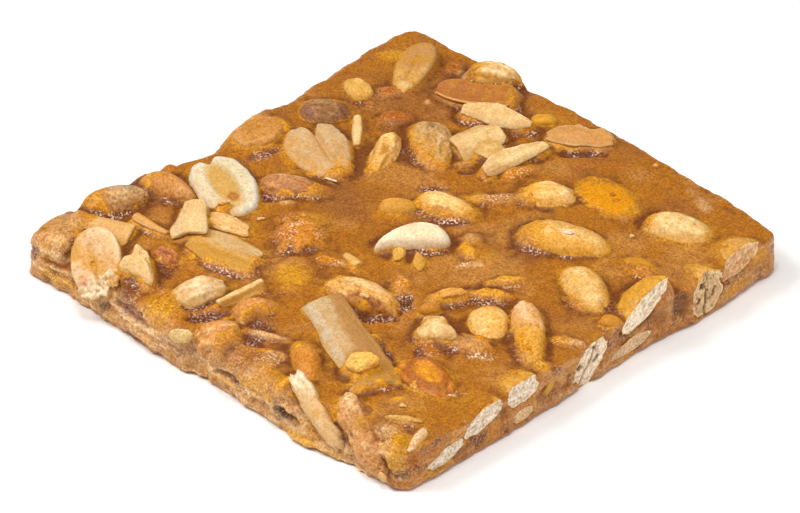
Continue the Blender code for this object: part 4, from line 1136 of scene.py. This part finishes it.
def caramelPoints():
    # Top: each square ring of the unit grid is the outline, less the shoulder, shrunk to that share.
    # Wall: a quarter turn round the shoulder, then straight down with strata, then in under the foot.
    n = slabGrid["cells"]
    steps = np.linspace(-1, 1, n + 1)
    s, t = np.meshgrid(steps, steps, indexing="ij")
    angle = np.arctan2(t * boxHigh[1], s * boxHigh[0])
    share = np.maximum(np.abs(s), np.abs(t))
    plan = onOutline(start, angle) * share[..., None]
    top = np.concatenate([plan, sampled(caramel, plan[..., 0], plan[..., 1])[..., None]], -1)
    edgeI = np.concatenate([np.full(n, n), np.arange(n, 0, -1), np.zeros(n, int), np.arange(n)])
    edgeJ = np.concatenate([np.arange(n), np.full(n, n), np.arange(n, 0, -1), np.zeros(n, int)])
    rim = top[edgeI, edgeJ]
    rimAngle = angle[edgeI, edgeJ]
    out, bend = onOutline(outward, rimAngle), onOutline(shoulder, rimAngle)
    side = {name: onOutline(values, rimAngle) for name, values in sides.items()}
    high = rim[:, 2]
    turn = np.linspace(0, np.pi / 2, slabGrid["roundRings"] + 1)[1:, None]
    outRound, drop = bend * np.sin(turn), bend * (1 - np.cos(turn))
    straight = np.linspace(0, 1, slabGrid["straightRings"] + 1)[1:, None]
    below = high - bend
    zs = np.concatenate([high - drop, below + (slabGrid["footRise"] - below) * straight])
    outs = np.concatenate([outRound, bend + 0 * straight])
    plans = rim[:, :2] + out * outs[..., None]
    wall = np.concatenate([plans, zs[..., None]], -1)
    fade = smooth(np.concatenate([turn / np.pi * 2 - 0.2, 1 + 0 * straight]), 0, 1)
    strata = layered(wall * np.array([0.16, 0.16, 1.3]), 1.1, 61, 3)
    lumps = layered(wall, 3.2, 67, 3)
    wallRough = sum(side[name] * amount for name, amount in sideLook["wall"].items())
    move = fade * (wallRough * (0.6 * lumps + 0.7 * strata))
    plain = wall.copy()
    for *place, outBy, _, _, pale in wallMarks:
        dome, ridge = wallMark(wall, side, *place)
        move = move + dome * outBy + ridge * pale * 0.4
    wall[..., :2] += out * move[..., None]
    outwardShare = np.concatenate([np.sin(turn), 1 + 0 * straight]) + 0 * high
    inward = -np.concatenate([out * outwardShare[..., None], np.sqrt(1 - outwardShare ** 2)[..., None]], -1)
    wall = wallPockets(wall, inward)
    low = wall[-1:].copy()
    low[..., :2] -= out * slabGrid["foot"]
    low[..., 2] = 0
    under = np.concatenate([low * np.array([share, share, 1]) for share in (1, 0.97, 0.9, 0.6, 0.25)])
    facts = {"side": side, "strata": strata, "lumps": lumps, "plain": plain, "edge": (edgeI, edgeJ)}
    return top, wall, under, facts


# Ledges and hollows of the wall; in the hollows that step back, the dark, mauve and brown tones are painted
# shade:
# side, place along it, height, half length, half height, how far out, tone, its share, pale rim
wallMarks = [
    ("front", -40.0, 7.0, 4.5, 0.7, 0.4, "cream", 0.8, 0.0),
    ("front", -37.0, 5.0, 7.0, 0.6, -0.6, "rust", 0.8, 0.3),
    ("front", -38.0, 2.4, 6.0, 1.0, 0.3, "gold", 0.6, 0.0),
    ("front", -20.0, 5.4, 5.0, 1.3, -0.9, "mauve", 0.7, 0.8),
    ("front", -22.0, 2.4, 7.0, 0.7, 0.3, "tan", 0.6, 0.3),
    ("front", -8.0, 4.8, 4.0, 1.2, -0.4, "mauve", 0.4, 0.3),
    ("front", -2.0, 2.5, 5.0, 0.8, 0.3, "tan", 0.6, 0.3),
    ("front", 5.0, 3.6, 4.4, 0.8, -0.4, "mauve", 0.5, 0.8),
    ("front", 12.0, 5.4, 4.0, 1.4, 0.4, "gold", 0.5, 0.0),
    ("front", 19.5, 3.7, 3.4, 1.4, -1.0, "dark", 0.8, 0.6),
    ("front", 24.0, 1.0, 8.0, 0.9, 0.3, "gold", 0.7, 0.3),
    ("front", 33.2, 4.6, 1.4, 2.0, -0.5, "mauve", 0.6, 0.0),
    ("front", 35.0, 1.6, 5.0, 0.8, 0.2, "tan", 0.4, 0.4),
    ("front", 44.5, 5.6, 2.4, 2.4, 0.0, "gold", 0.8, 0.0),
    ("front", 45.5, 1.2, 3.0, 1.2, 0.1, "rust", 0.9, 0.2),
    ("right", -44.5, 5.2, 1.2, 2.4, -0.7, "rust", 0.9, 0.0),
    ("right", -39.0, 1.6, 4.0, 0.9, 0.3, "gold", 0.5, 0.2),
    ("right", -33.0, 3.0, 2.6, 2.0, -0.4, "brown", 0.7, 0.0),
    ("right", -22.5, 4.6, 0.8, 1.6, -0.6, "brown", 0.8, 0.0),
    ("right", -11.5, 3.6, 3.2, 2.2, -0.4, "brown", 0.6, 0.2),
    ("right", 8.0, 4.8, 2.4, 1.8, -0.5, "brown", 0.6, 0.0),
    ("right", 33.0, 5.4, 1.6, 2.0, -0.4, "brown", 0.6, 0.0),
    ("right", 41.5, 5.6, 2.0, 1.6, 0.3, "gold", 0.5, 0.0),
    ("right", -7.0, 2.6, 1.4, 1.1, -0.5, "rust", 0.7, 0.0),
    ("right", 1.0, 1.0, 5.0, 0.6, 0.3, "tan", 0.5, 0.3),
    ("right", 17.0, 4.6, 1.6, 1.8, -0.5, "brown", 0.7, 0.0),
    ("right", 21.6, 5.4, 1.8, 2.6, -0.6, "dark", 0.65, 0.0),
    ("right", 11.5, 5.6, 4.5, 0.45, -0.6, "dark", 0.85, 0.0),
    ("right", 35.0, 2.4, 4.0, 1.2, 0.3, "gold", 0.5, 0.2),
]


def wallMark(wall, side, face, at, height, long, tall):
    # A mark's dome and rim at the wall's points, on its own side only
    along = wall[..., 0] if face == "front" else wall[..., 1]
    away = np.hypot((along - at) / long, (wall[..., 2] - height) / tall)
    away = away * (1 + 0.3 * layered(wall, 1.6, 103, 2))
    return smooth(1.25 - away, 0, 0.6) * side[face], np.exp(-((away - 1.15) / 0.2) ** 2) * side[face]


# Nuts that the walls step back from
wallNuts = ("half_front_strip", "kernel_front_leaning", "half_pink", "kernel_edge_porous")


def wallPockets(wall, inward):
    # Wall points in front of a nut go back to just inside it: the way in is met with the nut's ellipsoid,
    # and ways that pass close beside it go back less, which leaves a soft lip round the nut
    for node in wallNuts:
        lay = nuts[node]["lay"]
        place = (wall - lay["middle"]) @ lay["basis"].T / lay["half"]
        way = inward @ lay["basis"].T / lay["half"]
        square, ahead = (way ** 2).sum(-1), -(place * way).sum(-1)
        nearest = ahead / square
        closest = np.sqrt(np.clip((place ** 2).sum(-1) - ahead ** 2 / square, 0, None))
        depth = nearest - np.sqrt(np.clip(1 - closest ** 2, 0, None) / square)
        share = smooth(1.3 - closest, 0, 0.3) * smooth(5.0 - depth, 0, 1.0)
        wall = wall + inward * (np.clip(depth + 0.3, 0, None) * share)[..., None]
    return wall


def sawnRecess(wall):
    # How far the wall steps back behind each cut face, so that the cut shows with caramel round it
    back = np.zeros(wall.shape[:2])
    for node, nut in nuts.items():
        if not node.startswith("sawn_"):
            continue
        cutFace = nut["world"][nut["masks"]["cut"] > 0.5]
        edge = nut["world"][bodyRows]
        middle = edge.mean(0)
        flat = edge[:, 1:] - middle[1:]
        edgeAngle = np.arctan2(flat[:, 1], flat[:, 0])
        order = np.argsort(edgeAngle)
        away = wall[..., 1:] - middle[1:]
        angle = np.arctan2(away[..., 1], away[..., 0])
        reach = np.interp(angle, edgeAngle[order], np.hypot(*flat.T)[order], period=2 * np.pi)
        inside = smooth(reach + 0.1 - np.hypot(away[..., 0], away[..., 1]), -0.15, 0.35)
        close = (np.abs(wall[..., 0] - middle[0]) < 5) * inside
        back = np.maximum(back, close * (wall[..., 0] - (cutFace[:, 0].min() - 0.5)))
    return np.clip(back, 0, 2)


def topColours(top):
    # Open caramel clouded and paled in wide patches, with a painted glow beside the nuts, thin over them,
    # painted shade in its hollows and a painted highlight on its rises, and grit with painted glints
    look = caramelLook
    x, y = top[..., 0], top[..., 1]
    hollow = sampled(hollows, x, y)
    over = sampled(np.where(np.isfinite(covered), covered, 9.0), x, y)
    glowing = smooth(sampled(halo, x, y), 0.02, 0.5) * smooth(layered(top, 3.5, 97, 2), -0.7, 0.3)
    tint = painted(np.broadcast_to(linear(look["open"]), top.shape), [
        (look["cloud"], smooth(layered(top, 14.0, 89, 4), -0.05, 0.7) * 0.65),
        (look["pale"], smooth(layered(top, 9.0, 71, 3), -0.1, 0.7) * 0.7),
        (look["glow"], glowing * (0.85 - 0.5 * smooth(y - x, 30, 80))),
        (look["thin"], smooth(sampled(swollen, x, y), 0.15, 0.9) * 0.6),
        (look["thin"], np.exp(-np.clip(over, 0, 9) / 1.6) * 0.3)])
    stained = np.stack([sampled(stain[..., k], x, y) for k in range(3)], -1)
    tint = blend(tint, stained, sampled(stainShare, x, y))
    # Painted shade in the hollows, then a painted highlight on the rises
    tint = painted(tint, [(look["deep"], smooth(hollow, 0.08, 0.85) * 0.88)])
    tint = tint * (1 + 0.2 * smooth(-hollow, 0.1, 0.9))[..., None]
    tint = painted(tint, [(look["speckle"], smooth(layered(top, 0.9, 73, 2), 0.15, 0.5) * 0.3)])
    # Grit and its painted glints, in hollows on slopes that lean towards the camera
    lit = smooth(sampled(facing, x, y), 0.05, 0.5)
    gritAndGlint = smooth(hollow, 0.05, 0.6) * smooth(layered(top, 3.0, 79, 2), -0.2, 0.4) * lit * 0.8
    return tint, np.clip(np.maximum(gritAndGlint, sampled(gritAndGlintField, x, y)), 0, 1.2)


def wallColours(wall, rimTint, facts):
    # Strata, painted shade in the hollows and patches of painted glow, then the marks, all easing in below the
    # rim
    look, side, every = caramelLook, facts["side"], np.ones(wall.shape[:2])
    tint = painted(linear(look["wallLeft"]) + np.zeros(wall.shape), [
        (look["wallRight"], side["right"] * every),
        (look["stratum"], smooth(facts["strata"], 0.05, 0.5) * (1 - side["right"] * 0.7) * 0.7),
        (look["wallHollowShade"], smooth(-facts["lumps"], 0.1, 0.7) * 0.75),
        (look["glow"], smooth(layered(wall, 5.0, 83, 2), 0.1, 0.7) * 0.4)])
    for *place, _, tone, share, pale in wallMarks:
        dome, ridge = wallMark(facts["plain"], side, *place)
        tint = painted(tint, [(tones[tone], dome * share), (look["stratum"], ridge * pale)])
    depth = np.linspace(0, 1, wall.shape[0])[:, None]
    tint = blend(rimTint + np.zeros(wall.shape), tint, smooth(depth, 0.02, 0.3) * every)
    # Grit with painted glints in the wall's hollows
    return tint, 0.25 * smooth(-facts["lumps"], 0, 0.6)


def caramelPiece():
    # The top's grid, the wall's rings and the underside's rings joined into one closed mesh
    top, wall, under, facts = caramelPoints()
    wall[..., 0] -= sawnRecess(wall)
    rows, columns = wall.shape[0] + under.shape[0], wall.shape[1]
    n = slabGrid["cells"]
    points = np.concatenate([top.reshape(-1, 3), wall.reshape(-1, 3), under.reshape(-1, 3), [[0, 0, 0]]])
    i, j = np.meshgrid(np.arange(n), np.arange(n), indexing="ij")
    corner = i * (n + 1) + j
    topFaces = np.stack([corner, corner + n + 1, corner + n + 2, corner + 1], -1).reshape(-1, 4)
    first = (n + 1) ** 2
    edgeI, edgeJ = facts["edge"]
    edge = edgeI * (n + 1) + edgeJ
    k = np.arange(columns)
    after = (k + 1) % columns
    joint = np.stack([edge[k], first + k, first + after, edge[after]], -1)
    rings = ringFaces(rows, columns, first)[:, ::-1]
    lastRing = first + (rows - 1) * columns
    tris = np.stack([lastRing + after, lastRing + k, np.full(columns, len(points) - 1)], -1)
    quads = np.concatenate([topFaces, joint, rings])
    tint, gritAndGlint = topColours(top)
    wallTint, wallGritAndGlint = wallColours(wall, tint[edgeI, edgeJ], facts)
    underTint = np.broadcast_to(linear(caramelLook["under"]), (under.shape[0] * columns + 1, 3))
    tint, wallTint = tint * caramelLook["topLight"], wallTint * caramelLook["wallLight"]
    tints = np.concatenate([tint.reshape(-1, 3), wallTint.reshape(-1, 3), underTint])
    gritsAndGlints = np.concatenate([gritAndGlint.ravel(), wallGritAndGlint.ravel(), np.zeros(len(underTint))])
    piece = fillMesh(
        "caramel_slab_poured", *facedOut(points, quads, tris), tints, {"gritAndGlint": gritsAndGlints}, materials["caramel"])
    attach(piece, "root")
    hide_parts("caramel_slab")


caramelPiece()
print("caramel poured")


def shoulderDrop(world):
    # How far the shoulder lies below the top at a place: a quarter turn from where it starts to the outline
    angle = np.arctan2(world[..., 1], world[..., 0])
    inner, outer = [np.hypot(*np.moveaxis(onOutline(edge, angle), -1, 0)) for edge in (start, outline)]
    share = np.clip((np.hypot(world[..., 0], world[..., 1]) - inner) / (outer - inner), 0, 1)
    return onOutline(shoulder, angle) * (1 - np.sqrt(1 - share ** 2))


def filmOn(world, look, seed):
    # Share of caramel film: full at the caramel's level, less above it, never under the look's own
    above = world[..., 2] - sampled(caramel, world[..., 0], world[..., 1]) + shoulderDrop(world)
    uneven = 1 + 0.6 * layered(world, 2.2, seed, 2) + 0.45 * layered(world, 0.5, seed + 7, 2)
    bare = smooth(above, 0.05, np.maximum(look["filmHigh"] * uneven, 0.2))
    return np.clip(look["film"] + (1 - look["film"]) * (1 - bare), 0, 1)


filmShare = 0.72        # how strong the film of caramel shows in a nut's colour
nutLight = 0.91         # and how light the nuts are as a whole


def paintedNut(nut):
    # Bare tone mottled with the second tone, rims, hollows, ledges and pits, painted shade and highlight on the
    # relief, then patches, then the film, which paints the sides as shade, and a painted highlight on the tops
    look, masks, world, seed = nut["look"], nut["masks"], nut["world"], nut["seed"]
    share = (world - nut["lay"]["middle"]) @ nut["lay"]["basis"].T / nut["lay"]["half"]
    mottled = layered(share * nut["lay"]["half"] * np.array([0.5, 1, 1]), look["secondSize"], seed + 21, 3)
    coats = [(look["second"], smooth(mottled, -0.25, 0.45) * look["secondShare"])]
    if "face" in masks:
        rim = smooth(masks["radius"], 0.72, 0.95) * masks["face"]
        coats.append((look["rimTone"], rim * look["rimShare"]))
        if look["hollowTone"]:
            coats.append((look["hollowTone"], smooth(masks["hollow"], 0.1, 0.75) * 0.95))
        if look["ledgeTone"]:
            coats.append((look["ledgeTone"], masks["ledge"] * 0.9))
        speckles = smooth(layered(world, 0.7, seed + 51, 2), -0.5, 0.3)
        coats.append((look["crumbTone"], masks["crumbled"] * (0.35 + 0.65 * speckles)))
    if "across" in masks:
        coats.append((look["edgeTone"], smooth(masks["radius"], 0.86, 0.99) * look["edgeShare"]))
    coats.append((look["pitTone"], masks["pit"] * look["pitShade"]))
    tint = linear(look["bare"]) + np.zeros(world.shape)
    # The relief's hollows darkened towards the pit tone as painted shade, its crests lightened as a painted
    # highlight
    if "relief" in masks:
        coats.append((look["pitTone"], smooth(-masks["relief"], 0.15, 0.8) * look["cavity"]))
        crestHighlight = (1 + 0.5 * look["cavity"] * smooth(masks["relief"], 0.1, 0.7))[..., None]
        tint = painted(tint, coats) * crestHighlight
        coats = []
    if "rings" in look:
        turns, tone, amount = look["rings"]
        away = np.hypot(share[..., 0], share[..., 1])
        coats.append((tone, smooth(np.cos(2 * np.pi * turns * away), -0.2, 0.8) * amount))
    for x, y, wide, high, tone, amount in look["patches"]:
        away = ((share[..., 0] - x) / wide) ** 2 + ((share[..., 1] - y) / high) ** 2
        away = away * (1 + 0.35 * layered(world, 1.2, seed + 5, 2))
        coats.append((tone, (1 - smooth(away, 0.5, 1.4)) * amount))
    tint = painted(tint, coats)
    # Sides take more film the further they lean from up, painted as shade in the film's tone; up-facing tops
    # are lightened as a painted highlight
    lean = gridNormals(world)[..., 2]
    film = np.maximum(filmOn(world, look, seed + 31), look["drained"] * smooth(0.8 - lean, 0, 0.6))
    tint = tint * (1 + look["crest"] * smooth(lean, 0.75, 1.0))[..., None]
    tint = painted(tint * look["light"], [(look["filmTone"], film * filmShare)]) * nutLight
    if "cut" in masks:
        crack = masks["crack"]
        cutTint = painted(linear(look["cutTone"]) + np.zeros(world.shape), [
            (look["cutSecond"], smooth(layered(world, 1.3, seed + 41, 3), -0.2, 0.5) * 0.7),
            (look["cutPit"], np.clip(masks["pit"] * 0.8 + crack * 1.6, 0, 1)),
            (look["cutCrack"], np.clip(crack * 1.4, 0, 1) * 0.8),
            (look["cutRim"], smooth(masks["radius"], 0.84, 0.97) * 0.6)])
        tint = blend(tint, cutTint, masks["cut"])
        film = film * (1 - masks["cut"])
    return tint, film


def finishedNut(nut):
    # Points, faces and point attributes of one painted nut
    tint, film = paintedNut(nut)
    points, quads, tris = closedPoints(nut["world"])
    tints = np.concatenate([tint.reshape(-1, 3), tint[:1].mean(1), tint[-1:].mean(1)])
    fibres = np.full(film.shape, 0.5)
    if "across" in nut["masks"]:
        x, y = nut["world"][..., 0], nut["world"][..., 1]
        fibres = 0.5 + 0.5 * noise(stacked(nut["masks"]["across"] * 9, x * 0.08, y * 0.08), 1.0, nut["seed"])
    extra = {
        key: np.concatenate([values.ravel(), [values[0].mean(), values[-1].mean()]])
        for key, values in {"film": film, "fibre": fibres}.items()}
    return points, quads, tris, tints, extra


def joinedNuts(name, kinds, material):
    # Every bit of those kinds in one mesh
    parts = [finishedNut(nut) for nut in nuts.values() if nut.get("bit") in kinds]
    firsts = np.cumsum([0] + [len(part[0]) for part in parts[:-1]])
    points, tints = [np.concatenate([part[k] for part in parts]) for k in (0, 3)]
    quads, tris = [np.concatenate([part[k] + first for part, first in zip(parts, firsts)]) for k in (1, 2)]
    extra = {key: np.concatenate([part[4][key] for part in parts]) for key in ("film", "fibre")}
    piece = fillMesh(name, points, quads, tris, tints, extra, materials[material])
    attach(piece, "root")


for node, nut in nuts.items():
    if "bit" in nut:
        continue
    material = materials["kernel_cream_sawn" if "cut" in nut["masks"] else slotOf[node]]
    piece = fillMesh(node + "_roasted", *finishedNut(nut), material)
    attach(piece, "root")
    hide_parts(node)
joinedNuts("nut_crumbs", ("kernel", "chunk"), "kernel_cream")
joinedNuts("coconut_flakes", ("strip",), "coconut")
print("nuts painted and put in")


stageLook = {"floor": (248, 247, 246), "floorSize": 8.0, "air": (1.0, 0.99, 0.975, 1), "airLight": 0.24}
# Softboxes: metres to the camera's right, towards it and up, size and power
lampLooks = {
    "key softbox": (-0.62, -0.05, 0.72, 0.45, 6.2),
    "top softbox": (0.05, 0.1, 0.95, 0.45, 4.0),
    "front softbox": (-0.5, 0.75, 0.4, 0.5, 0.9),
    "right softbox": (0.7, 0.45, 0.3, 0.45, 2.4),
    "glint lamp": (-0.05, 0.2, 0.85, 0.05, 0.6),
}

floorMesh = bpy.data.meshes.new("floor")
half = stageLook["floorSize"] / 2
floorCorners = [(-half, -half, 0), (half, -half, 0), (half, half, 0), (-half, half, 0)]
floorMesh.from_pydata(floorCorners, [], [(0, 1, 2, 3)])
floor = bpy.data.objects.new("floor", floorMesh)
bpy.context.scene.collection.objects.link(floor)
floorColour = (*linear(stageLook["floor"]), 1)
floorMesh.materials.append(Nodes("floor").finish({"Base Color": floorColour, "Roughness": 0.9}))

studio = bpy.data.worlds.new("studio")
bpy.context.scene.world = studio
studio.use_nodes = True
background = studio.node_tree.nodes["Background"]
background.inputs["Color"].default_value = stageLook["air"]
background.inputs["Strength"].default_value = stageLook["airLight"]

cameraLook = {"turn": 45.0, "rise": 34.5, "away": 4.0, "wide": 0.1377, "target": (-0.0006, -0.00066, 0.004)}
turn, rise = np.radians(cameraLook["turn"]), np.radians(cameraLook["rise"])
target = Vector(cameraLook["target"])
toCamera = Vector((np.cos(rise) * np.sin(turn), -np.cos(rise) * np.cos(turn), np.sin(rise)))
toRight = Vector((np.cos(turn), np.sin(turn), 0))
toNear = Vector((np.sin(turn), -np.cos(turn), 0))
for name, (right, near, up, size, power) in lampLooks.items():
    lampData = bpy.data.lights.new(name, "AREA")
    lampData.size = size
    lampData.energy = power
    lamp = bpy.data.objects.new(name, lampData)
    lamp.location = target + toRight * right + toNear * near + Vector((0, 0, up))
    lamp.rotation_euler = (lamp.location - target).to_track_quat("Z", "Y").to_euler()
    bpy.context.scene.collection.objects.link(lamp)

cameraData = bpy.data.cameras.new("camera")
cameraData.sensor_width = 36.0
cameraData.lens = cameraData.sensor_width * cameraLook["away"] / cameraLook["wide"]
camera = bpy.data.objects.new("camera", cameraData)
camera.location = target + toCamera * cameraLook["away"]
camera.rotation_euler = toCamera.to_track_quat("Z", "Y").to_euler()
bpy.context.scene.collection.objects.link(camera)
bpy.context.scene.camera = camera
bpy.context.scene.view_settings.view_transform = "Standard"
print("stage set")

bpy.context.view_layer.update()
